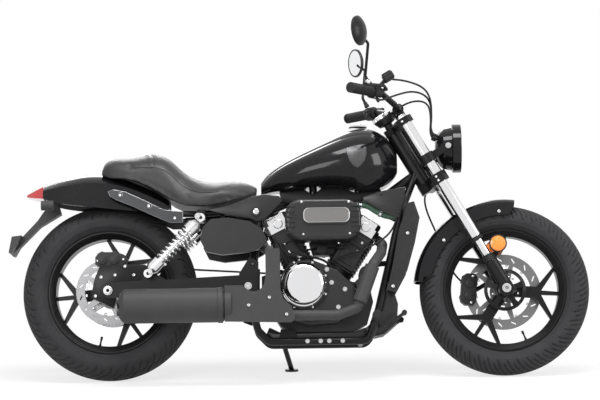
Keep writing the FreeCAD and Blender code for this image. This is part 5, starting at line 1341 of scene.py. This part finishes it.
class CRUISER_OT_engine(Step):
    """Adds the engine's fastenings, hoses, pump, dipstick, wires and air cleaner's trim."""
    bl_idname = "cruiser.engine"
    bl_label = "Engine"

    def air_cleaner(self):
        face = -0.1962
        outline = []
        for x, z, first in ((0.826, 0.563, 0), (0.826, 0.550, -90), (0.704, 0.550, -180),
                            (0.704, 0.563, -270)):
            for k in range(9):
                turn = math.radians(first + 90 - k * 90 / 8)
                outline.append((x + 0.0195 * math.cos(turn), z + 0.0195 * math.sin(turn)))
        middle = Vector((0.765, 0, 0.5565))

        def ring(grow, across):
            return [(middle.x + (x - middle.x) * grow, across,
                     middle.z + (z - middle.z) * (grow * 1.4 - 0.4)) for x, z in outline]

        rim = Form()
        rim.skin([ring(1.0, face + 0.003), ring(1.0, face - 0.0030), ring(0.985, face - 0.0040),
                  ring(0.955, face - 0.0040), ring(0.945, face - 0.0015)], cap=False)
        rim.build("air_cleaner_rim", "chassis", "bright_steel", angle=30)
        form = Form()
        form.skin([ring(0.946, face + 0.002), ring(0.946, face - 0.0018)])
        form.build("air_cleaner_panel", "chassis", "brushed_panel", angle=30)
        ribs = Form()
        for side in SIDES:
            for i in range(6):
                x, z = 0.753 + side * 0.112, 0.543 + (-0.045 + i * 0.018)
                spot, _ = on_side(NODES["air_cleaner"], x, z, -1)
                ribs.skin([[(x + u * long, y, z + w * high) for u, w in RECTANGLE]
                           for y, long, high in ((spot.y + 0.002, 0.014, 0.0035),
                                                 (spot.y - 0.004, 0.012, 0.0018))])
        ribs.build("air_cleaner_ribs", "chassis", "satin_cover")

    def fastenings(self):
        form = Form()
        bolt_row(form, "air_cleaner", -1, [(684, 491), (846, 492), (679, 604), (843, 602)], 0.0045,
                 "button")
        bolt_row(form, "crankcase", -1, [(780, 326), (802, 240), (826, 302), (764, 372)], 0.0058)
        round_cover = [(681 + 84.5 * math.cos(turn), 318 + 84.5 * math.sin(turn))
                       for turn in (math.radians(22 + 45 * i) for i in range(8))]
        bolt_row(form, "crankcase", -1, round_cover, 0.005, "button")
        bolt_row(form, "crankcase", 1, [(700, 380)], 0.0058)
        bolt_row(form, "pulley_cover", 1, [(836, 300), (805, 232), (700, 215)], 0.0058)
        for side in (-1, 1):
            bolt_row(form, "cylinder_front", side, [(889, 468), (872, 440)], 0.0055, "button")
            bolt_row(form, "cylinder_rear", side, [(618, 468), (634, 440)], 0.0055, "button")
        form.build("engine_bolts", "chassis", "bright_steel")

    def clutch(self):
        form = Form()
        centre = Vector((0.681, -0.1478, 0.318))
        form.lathe([(0.0735, 0.0), (0.0775, 0.0), (0.0785, 0.003), (0.0765, 0.0062),
                    (0.0735, 0.007)], centre, (0, -1, 0), 96)
        form.build("clutch_ring", "chassis", "chrome")

    def dipstick(self):
        form = Form()
        form.lathe([(0.005, 0.0), (0.005, 0.020), (0.0092, 0.021), (0.0115, 0.025), (0.0115, 0.029),
                    (0.009, 0.032), (0, 0.0325)], (0.668, -0.112, 0.392), (0, -0.1, 1), 24)
        form.build("dipstick", "chassis", "bright_steel")

    def pump(self):
        form = Form()
        centre = Vector((0.884, -0.076, 0.320))
        form.lathe([(0.024, 0.0), (0.024, 0.012), (0.0215, 0.020), (0.0215, 0.036), (0.018, 0.040),
                    (0, 0.041)], centre, (0, -1, 0), 32)
        form.lathe([(0.0105, 0.0), (0.0105, 0.026), (0.0, 0.026)], (0.884, -0.098, 0.330), UP, 20)
        form.build("water_pump", "chassis", "cast_enamel")
        marks = Form()
        for i in range(5):
            turn = 2 * math.pi * i / 5
            spot = Vector((0.0205 * math.cos(turn), -0.0115, 0.0205 * math.sin(turn)))
            marks.hex_head(centre + spot, (0, -1, 0), 0.0036)
        marks.build("water_pump_bolts", "chassis", "bright_steel")

    def hoses(self):
        hose("radiator_hose_low", [(0.884, -0.098, 0.350), (0.884, -0.098, 0.372),
                                   (0.918, -0.088, 0.384), (0.950, -0.060, 0.396),
                                   (0.982, -0.045, 0.398), (1.012, -0.040, 0.398)],
             0.0095, "chassis", "black_rubber")
        hose("radiator_hose_top", [(0.868, -0.046, 0.586), (0.884, -0.058, 0.606),
                                   (0.915, -0.062, 0.600), (0.942, -0.060, 0.580),
                                   (0.985, -0.050, 0.560), (1.052, -0.045, 0.560)],
             0.0105, "chassis", "green_hose")
        clips = Form()
        for spot, way in (((0.889, -0.059, 0.604), (1, -0.2, 0.1)),
                          ((0.955, -0.057, 0.573), (1, 0.1, -0.5))):
            clips.lathe([(0.0104, -0.004), (0.0122, -0.004), (0.0122, 0.004), (0.0104, 0.004)],
                        spot, way, 24)
        clips.build("hose_clips", "chassis", "bright_steel")
        hose("plug_lead_front", [(0.868, -0.070, 0.505), (0.852, -0.092, 0.470),
                                 (0.826, -0.102, 0.448), (0.790, -0.070, 0.452),
                                 (0.760, -0.036, 0.458)], 0.0036, "chassis", "black_rubber")
        hose("plug_lead_rear", [(0.638, -0.070, 0.505), (0.652, -0.092, 0.470),
                                (0.678, -0.100, 0.440), (0.712, -0.070, 0.450),
                                (0.742, -0.036, 0.458)], 0.0036, "chassis", "black_rubber")
        hose("clutch_cable_run", [(0.775, -0.105, 0.400), (0.811, -0.110, 0.418),
                                  (0.867, -0.108, 0.433), (0.916, -0.102, 0.452),
                                  (0.962, -0.095, 0.478), (0.995, -0.085, 0.510),
                                  (1.016, -0.072, 0.560), (1.030, -0.066, 0.620)], 0.0034,
             "chassis", "black_rubber")
        hose("wiring_loom_low", [(0.600, -0.092, 0.470), (0.618, -0.108, 0.428),
                                 (0.660, -0.112, 0.414), (0.720, -0.106, 0.420),
                                 (0.775, -0.104, 0.398), (0.800, -0.112, 0.356)],
             0.0042, "chassis", "black_rubber")

    def valley(self):
        """The coil, the injector rail and the backbone's cover, between the two cylinders."""
        block = Form()
        block.prism([(0.716, 0.432), (0.792, 0.432), (0.806, 0.478), (0.702, 0.478)], -0.052, 0.052)
        for low, high in ((-0.068, -0.050), (0.050, 0.068)):
            block.prism([(0.728, 0.436), (0.760, 0.430), (0.768, 0.462), (0.732, 0.470)], low, high)
        block.build("ignition_coil", "chassis", "black_plastic", bevel=0.003)
        fuel = Form()
        fuel.tube([(0.704, -0.058, 0.488), (0.752, -0.064, 0.498), (0.802, -0.058, 0.488)], 0.007,
                  16)
        fuel.build("injector_rail", "chassis", "bright_steel")
        cover = Form()
        top = []
        for i in range(13):
            x = 0.600 + 0.030 * i
            spot, _ = cast(NODES["fuel_tank"], (x, 0, 0.3), (0, 0, 1))
            top.append((x, spot.z - 0.0015))
        cover.prism([(0.960, 0.634), (0.880, 0.618), (0.700, 0.614), (0.610, 0.622)] + top, -0.030,
                    0.030)
        cover.build("loom_cover", "chassis", "black_plastic", bevel=0.004)

    def make(self, scene):
        self.air_cleaner()
        self.fastenings()
        self.clutch()
        self.dipstick()
        self.pump()
        self.hoses()
        self.valley()


class CRUISER_OT_exhaust(Step):
    """Adds the shield's bolts, the silencer's front band and its two outlets."""
    bl_idname = "cruiser.exhaust"
    bl_label = "Exhaust"

    SILENCER = (-0.222, 0.246)        # the silencer's axis, across and up

    def make(self, scene):
        form = Form()
        bolt_row(form, "exhaust_pipes", -1, [(493, 241), (564, 267), (623, 208)], 0.0068, "button")
        form.build("shield_bolts", "chassis", "bright_steel")
        ring = Form()
        ring.lathe([(0.0603, 0.0), (0.0622, 0.002), (0.0622, 0.016), (0.0603, 0.018)],
                   (0.385, *self.SILENCER), FORWARD, 64)
        ring.build("silencer_bands", "chassis", "heat_coating")
        tips = Form()
        for lift in (0.019, -0.019):
            tips.lathe([(0.0125, 0.012), (0.0125, -0.010), (0.0145, -0.010), (0.0145, 0.012)],
                       (0.046, self.SILENCER[0], self.SILENCER[1] + lift), FORWARD, 32)
        tips.build("silencer_tips", "chassis", "gunmetal")


class CRUISER_OT_chassis(Step):
    """Adds gussets, belly and skid plates, fins, fastenings, peg rubbers and the hub's cover."""
    bl_idname = "cruiser.chassis"
    bl_label = "Chassis"

    def gussets(self):
        plates, bosses, heads = Form(), Form(), Form()
        for side in SIDES:
            plates.prism([(0.350, 0.588), (0.421, 0.602), (0.470, 0.619), (0.512, 0.634),
                          (0.545, 0.640), (0.600, 0.634), (0.612, 0.618), (0.553, 0.556),
                          (0.526, 0.544), (0.500, 0.556), (0.430, 0.566)], side * 0.1213,
                         side * 0.1263)
            plates.prism([(0.896, 0.632), (0.973, 0.654), (1.046, 0.665), (1.037, 0.612),
                          (1.024, 0.556), (1.015, 0.555), (0.954, 0.584), (0.896, 0.617)],
                         side * 0.076, side * 0.081)
            bosses.lathe([(0.0165, -0.003), (0.0165, 0.003), (0.015, 0.0045), (0.0, 0.0045)],
                         (0.519, side * 0.1263, 0.579), (0, side, 0), 40)
            for x, z in ((0.960, 0.640), (1.020, 0.575)):
                bosses.button_head((x, side * 0.081, z), (0, side, 0), 0.0052)
            heads.lathe([(0.010, 0.0), (0.010, 0.0022), (0.0085, 0.0032), (0.0035, 0.0032),
                         (0.003, 0.0012), (0, 0.0012)], (0.519, side * 0.1308, 0.579), (0, side, 0),
                        32)
        plates.build("frame_gussets", "chassis", "satin_cover", bevel=0.0018)
        bosses.build("gusset_bosses", "chassis", "satin_cover")
        heads.build("gusset_bolts", "chassis", "bright_steel")

    def belly(self):
        outline = [(0.975, 0.296), (1.001, 0.290), (1.012, 0.252), (1.009, 0.210), (0.972, 0.168),
                   (0.920, 0.140), (0.872, 0.128), (0.860, 0.146), (0.905, 0.176), (0.940, 0.214),
                   (0.955, 0.262)]
        form = Form()
        for side in SIDES:
            form.prism(outline, side * 0.0742, side * 0.0772)
        form.build("belly_panels", "chassis", "satin_cover", bevel=0.0012)
        seals = Form()
        for side in SIDES:
            seals.prism([(1.052, 0.590), (1.036, 0.560), (1.014, 0.506), (0.992, 0.398),
                         (0.968, 0.300), (0.958, 0.316), (0.975, 0.400), (0.994, 0.500),
                         (1.026, 0.596)], side * 0.060, side * 0.070)
        seals.build("radiator_seals", "chassis", "black_rubber", bevel=0.002)

    def caliper_plate(self):
        """The plate that carries the rear caliper, held by the axle and the swingarm."""
        outline = [(-62, -20), (14, -59), (40, 11), (168, 41), (130, 92), (53, 93), (-30, 90),
                   (-49, 44)]
        form = Form()
        form.prism([(x / 1000, REAR_RADIUS + z / 1000) for x, z in outline], -0.1008, -0.1112)
        form.build("caliper_plate", "chassis", "satin_paint", bevel=0.002)
        heads = Form()
        for x, z in ((58, 395), (23, 365), (89, 364), (-26, 358), (-46, 292)):
            heads.button_head((x / 1000, -0.1112, z / 1000), (0, -1, 0), 0.0068)
        heads.build("caliper_plate_bolts", "chassis", "bright_steel")

    def skid_plate(self):
        form = Form()
        outline = [(0.548, 0.150), (0.560, 0.128), (0.600, 0.122), (0.888, 0.122), (0.905, 0.140),
                   (0.896, 0.172), (0.860, 0.157), (0.600, 0.157), (0.560, 0.176)]
        form.prism(outline, -0.084, 0.084)
        form.build("skid_plate", "chassis", "satin_cover", bevel=0.004)

    def fins(self):
        form = Form()
        for i in range(34):
            z = 0.338 + i * 0.0076
            spot = tree_of(NODES["radiator"]).ray_cast(Vector((1.5, 0.0, z)), -AHEAD)[0]
            if spot is None:        # above or below the core
                continue
            corners = [(spot.x - 0.001, z - 0.0006), (spot.x - 0.001, z + 0.0006),
                       (spot.x + 0.0018, z + 0.0006), (spot.x + 0.0018, z - 0.0006)]
            form.prism(corners, -0.088, 0.088)
        form.build("radiator_fins", "chassis", "radiator_core")

    def hub_cover(self):
        form = Form(FRONT_WHEEL)
        seat, count = -0.0460, 5
        form.lathe([(0.0125, 0.0), (0.030, 0.0), (0.030, -0.0115), (0.0125, -0.0115)], (0, seat, 0),
                   (0, 1, 0), 60)
        form.lathe([(0.062, 0.0035), (0.074, 0.0065), (0.074, 0.0005), (0.062, -0.0045)],
                   (0, seat, 0), (0, 1, 0), 60)
        thick = Vector((0, -0.007, 0))
        for i in range(count):
            out, along = spoke(2 * math.pi * i / count)
            loops = []
            for radius, wide, lift in ((0.026, 0.010, -0.004), (0.045, 0.0085, -0.001),
                                       (0.066, 0.012, 0.003)):
                base = out * radius + Vector((0, seat + lift, 0))
                near, far = base + along * wide, base - along * wide
                loops.append([near, far, far + thick, near + thick])
            form.skin(loops)
        form.build("hub_cover", "front_wheel", "satin_paint", angle=30)

    def fastenings(self):
        form = Form()
        for side in SIDES:
            bolt_row(form, "frame", side, [(489, 317)], 0.0095)
            bolt_row(form, "fender_struts", side, [(43, 644), (143, 604), (234, 561)], 0.0064,
                     "button")
            bolt_row(form, "radiator_shroud", side, [(1049, 498), (995, 312)], 0.0072, "button")
            bolt_row(form, "rear_shocks", side, [(318, 560), (150, 368)], 0.0088)
        form.build("chassis_bolts", "chassis", "bright_steel")
        low = Form()
        for x in (0.693, 0.739, 0.769, 0.816):
            for side in SIDES:
                low.hex_head((x, side * 0.1128, 0.124), (0, side, 0), 0.0056)
        low.build("cradle_bolts", "chassis", "bright_steel")

    def adjusters(self):
        form = Form()
        for side in SIDES:
            form.lathe([(0.0088, 0), (0.0145, 0), (0.0145, 0.0022), (0.0125, 0.0034),
                        (0.0088, 0.0034)], (0, side * 0.1503, REAR_RADIUS), (0, side, 0), 32)
        form.build("rear_axle_rims", "chassis", "bright_steel")
        # Lighter metal lines along the struts' outer edges: a painted highlight.
        painted_highlight_line("strut_edge_highlights", "fender_struts", "chassis", 0.0005, "painted_edge_highlight")

    def pegs(self):
        form = Form()
        for side in SIDES:
            for i in range(9):
                form.lathe([(0.0142, 0.0), (0.0166, 0.0008), (0.0166, 0.0052), (0.0142, 0.006)],
                           (0.935, side * (0.172 + i * 0.0095), 0.204), (0, side, 0), 24)
        form.build("peg_rubbers", "chassis", "black_rubber")

    def make(self, scene):
        self.gussets()
        self.belly()
        self.caliper_plate()
        self.skid_plate()
        self.fins()
        self.hub_cover()
        self.fastenings()
        self.adjusters()
        self.pegs()


class CRUISER_OT_cables(Step):
    """Lays the control cables and the upper brake hose from the bar to the lamp's back."""
    bl_idname = "cruiser.cables"
    bl_label = "Cables"

    LEFT = [(0.020, 0.200, 0.772), (0.088, 0.120, 0.762), (0.128, 0.060, 0.722),
            (0.110, 0.038, 0.668)]
    HOSE = [(0.024, -0.2137, 0.836), (0.024, -0.190, 0.836), (0.082, -0.130, 0.806),
            (0.134, -0.080, 0.752), (0.124, -0.052, 0.690)]

    # Where the lines meet the back of the lamp's bucket, from the front axle with the fork
    # upright, and the way that its skin looks there.
    BUCKET_BACK, BUCKET_UP, MEET_RADIUS = -0.2285, 0.5088, 0.0455
    WAY_OUT, WAY_BACK = 0.423, 0.906

    def lamp_point(self, angle, off):
        """A point of the fork's frame that is off the back of the lamp's bucket."""
        radius = self.MEET_RADIUS + self.WAY_OUT * off
        x = self.BUCKET_BACK - self.WAY_BACK * off
        turn = math.radians(angle)
        y, z = radius * math.sin(turn), self.BUCKET_UP + radius * math.cos(turn)
        return (x * math.cos(FORK_LEAN) + z * math.sin(FORK_LEAN), y,
                z * math.cos(FORK_LEAN) - x * math.sin(FORK_LEAN))

    def make(self, scene):
        way = (CRUISER_OT_bars.OUTER - CRUISER_OT_bars.INNER).normalized()
        down = (Vector((0, 0, -1)) + way * way.z).normalized()
        start = CRUISER_OT_bars.INNER + way * 0.042 + down * 0.0243
        left = [tuple(start), tuple(start + down * 0.016)] + self.LEFT
        right = [(x, -y, z) for x, y, z in left]
        ends = Form(FORK)
        for name, line, angle, off in (("control_cable_left", left, 40, 0.026),
                                       ("control_cable_right", right, -12, 0.026),
                                       ("brake_hose", self.HOSE, -46, 0.030)):
            points = line + [self.lamp_point(angle, off), self.lamp_point(angle, 0.0004)]
            piece = hose(name, points, 0.0035, "steering", "black_rubber", FORK)
            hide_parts("control_cables")
            first = Vector(points[1]) - Vector(points[0])
            ends.lathe([(0.0036, -0.001), (0.0056, -0.001), (0.0056, 0.010), (0.0046, 0.016),
                        (0.0036, 0.017)], points[0], first, 16)
            last = Vector(points[-2]) - Vector(points[-1])
            ends.lathe([(0.0036, 0.0), (0.0066, 0.0), (0.0058, 0.010), (0.0044, 0.018),
                        (0.0036, 0.019)], points[-1], last, 16)
        ends.build("cable_boots", "steering", "black_rubber")


class CRUISER_OT_skirts(Step):
    """Adds the deep lower skirts of the front fender, with their bolts."""
    bl_idname = "cruiser.skirts"
    bl_label = "Front fender skirts"

    def make(self, scene):
        form, studs = Form(FRONT_WHEEL), Form(FRONT_WHEEL)
        first, last, steps = math.radians(83.5), math.radians(171), 60
        for side in SIDES:
            loops = []
            for i in range(steps + 1):
                share = i / steps
                turn = first + (last - first) * share
                ease = min(1.0, min(share, 1 - share) / 0.06)
                low = 0.297 - 0.034 * math.sqrt(1 - (1 - ease) ** 2)        # rounded ends
                out = Vector((math.cos(turn), 0, math.sin(turn)))
                loops.append([out * radius + Vector((0, side * across, 0)) for radius, across in (
                    (0.298, 0.0668), (0.298, 0.0697), (low, 0.0697), (low, 0.0668))])
            form.skin(loops)
            for turn in (93.5, 140.4):
                out = Vector((math.cos(math.radians(turn)), 0, math.sin(math.radians(turn))))
                studs.button_head(out * 0.276 + Vector((0, side * 0.0697, 0)), (0, side, 0), 0.0066)
        form.build("front_fender_skirts", "steering", "gloss_paint")
        studs.build("front_fender_bolts", "steering", "bright_steel")


class CRUISER_OT_calipers(Step):
    """Shapes both brake calipers, their pistons, boots and bolts, and the front brake's hose."""
    bl_idname = "cruiser.calipers"
    bl_label = "Brake calipers"

    FRONT = [(96, -44), (104, -56), (134, -56), (148, -46), (155, -26), (151, -20), (151, 20),
             (155, 26), (148, 46), (134, 56), (104, 56), (96, 44), (93, 18), (98, 0), (93, -18)]
    REAR = [(88, -34), (96, -46), (120, -46), (134, -36), (141, -22), (138, -14), (138, 12),
            (141, 20), (134, 40), (124, 62), (104, 66), (92, 50), (88, 26), (92, 6), (88, -12)]

    def caliper(self, frame, axle, lean, outline, disc_edge, halves, pistons):
        """Two halves over the disc and the bridge across its edge, leant about the axle."""
        out = (math.sin(lean), math.cos(lean))
        along = (math.cos(lean), -math.sin(lean))

        def spot(u, t):
            return (out[0] * u + along[0] * t) / 1000, axle + (out[1] * u + along[1] * t) / 1000

        form = Form(frame)
        (inner, inner_face), (outer_face, outer) = halves
        form.prism([spot(u, t) for u, t in outline], inner, inner_face)
        form.prism([spot(u, t) for u, t in outline], outer_face, outer)
        edge = disc_edge + 3
        bridge = [(max(u, edge) if u < edge + 1 else u - 1.5, t * 0.9) for u, t in outline]
        low = min(t for _, t in bridge)
        bridge = [(edge, low)] + [(u, t) for u, t in bridge if u > edge] + [(edge, -low)]
        form.prism([spot(u, t) for u, t in bridge], inner_face - 0.001, outer_face + 0.001)
        for face, way in ((inner, -1), (outer, 1)):
            for u, t in pistons:
                x, z = spot(u, t)
                form.lathe([(0.0, 0.005), (0.0125, 0.005), (0.0145, 0.004), (0.0165, 0.004),
                            (0.018, 0.0025), (0.018, -0.001)], (x, face, z), (0, way, 0), 32)
        return form, spot

    def details(self, frame, spot, faces, bolts, slides):
        """The bolts through both halves and the boots of the slide pins, as two forms."""
        heads, pins = Form(frame), Form(frame)
        for u, t in bolts:
            x, z = spot(u, t)
            for face, way in zip(faces, (-1, 1)):
                heads.button_head((x, face, z), (0, way, 0), 0.0050)
        for u, t in slides:
            x, z = spot(u, t)
            pins.lathe([(0.0, -0.004), (0.0062, -0.004), (0.0072, 0.0), (0.0062, 0.004),
                        (0.0072, 0.008), (0.0062, 0.012), (0.0, 0.012)],
                       (x, (faces[0] + faces[1]) / 2 - 0.004, z), (0, 1, 0), 20)
        return heads, pins

    def make(self, scene):
        lean = math.atan2(-111, 79)
        form, spot = self.caliper(FORK, 0.0, lean, self.FRONT, 134,
                                  ((0.031, 0.0535), (0.0680, 0.088)),
                                  ((121, -22), (121, 22)))
        for high in (0.058, 0.100):
            form.tube([(-0.100, 0.084, high), (-0.016, 0.094, high)], 0.008, 20)
        piece = form.build("front_caliper_body", "steering", "cast_enamel", bevel=0.0022)
        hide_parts("front_caliper")
        heads, pins = self.details(FORK, spot, (0.031, 0.088), ((112, -47), (112, 47)),
                                   ((144, -42), (144, 42)))
        heads.build("front_caliper_bolts", "steering", "bright_steel")
        pins.build("front_caliper_boots", "steering", "black_rubber")
        form, spot = self.caliper(UPRIGHT, REAR_RADIUS, 0.0, self.REAR, 115,
                                  ((-0.109, -0.0945), (-0.0785, -0.063)),
                                  ((112, -20), (112, 22)))
        plate = [(-22, 0), (-30, 90), (44, 90), (24, 0), (20, -22), (-18, -22)]
        form.prism([(x / 1000, REAR_RADIUS + z / 1000) for x, z in plate], -0.0995, -0.1095)
        piece = form.build("rear_caliper_body", "chassis", "cast_enamel", bevel=0.0022)
        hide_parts("rear_caliper")
        heads, pins = self.details(UPRIGHT, spot, (-0.109, -0.063), ((108, -38), (112, 52)),
                                   ((128, -34), (125, 48)))
        heads.build("rear_caliper_bolts", "chassis", "bright_steel")
        pins.build("rear_caliper_boots", "chassis", "black_rubber")
        line = [(-0.030, 0.058, 0.452), (-0.056, 0.060, 0.444), (-0.078, 0.068, 0.400),
                (-0.088, 0.079, 0.330), (-0.094, 0.083, 0.250), (-0.112, 0.083, 0.180),
                (-0.112, 0.080, 0.132), (-0.104, 0.0785, 0.108)]
        hose("front_brake_hose", line, 0.0033, "steering", "black_rubber", FORK)


# ---------------------------------------------------------------- panel and registration
# The operators, in the order in which main() calls them.
OPERATORS = [CRUISER_OT_stage, CRUISER_OT_finishes, CRUISER_OT_tyres, CRUISER_OT_wheels,
             CRUISER_OT_fork, CRUISER_OT_bars, CRUISER_OT_lamps, CRUISER_OT_saddle,
             CRUISER_OT_tank, CRUISER_OT_engine, CRUISER_OT_exhaust, CRUISER_OT_chassis,
             CRUISER_OT_cables, CRUISER_OT_skirts, CRUISER_OT_calipers]


class CRUISER_PT_panel(bpy.types.Panel):
    """Lists the steps and their settings."""
    bl_idname = "CRUISER_PT_panel"
    bl_label = "Cruiser Motorcycle"
    bl_space_type = "VIEW_3D"
    bl_region_type = "UI"
    bl_category = "Cruiser"

    def draw(self, context):
        layout = self.layout
        for operator in OPERATORS:
            layout.operator(operator.bl_idname)
        for holder in (context.scene.cruiser_paint, context.scene.cruiser_tyres,
                       context.scene.cruiser_saddle, context.scene.cruiser_studio):
            box = layout.box()
            for name in holder.__annotations__:
                box.prop(holder, name)


SETTINGS = {"cruiser_paint": CruiserPaint, "cruiser_tyres": CruiserTyres,
            "cruiser_saddle": CruiserSaddle, "cruiser_studio": CruiserStudio}


def register():
    for name, holder in SETTINGS.items():
        bpy.utils.register_class(holder)
        setattr(bpy.types.Scene, name, PointerProperty(type=holder))
    for operator in OPERATORS:
        bpy.utils.register_class(operator)
    bpy.utils.register_class(CRUISER_PT_panel)


def unregister():
    bpy.utils.unregister_class(CRUISER_PT_panel)
    for operator in reversed(OPERATORS):
        bpy.utils.unregister_class(operator)
    for name, holder in SETTINGS.items():
        delattr(bpy.types.Scene, name)
        bpy.utils.unregister_class(holder)


def main():
    register()
    for operator in OPERATORS:
        family, name = operator.bl_idname.split(".")
        getattr(getattr(bpy.ops, family), name)()


if __name__ == "__main__":
    main()
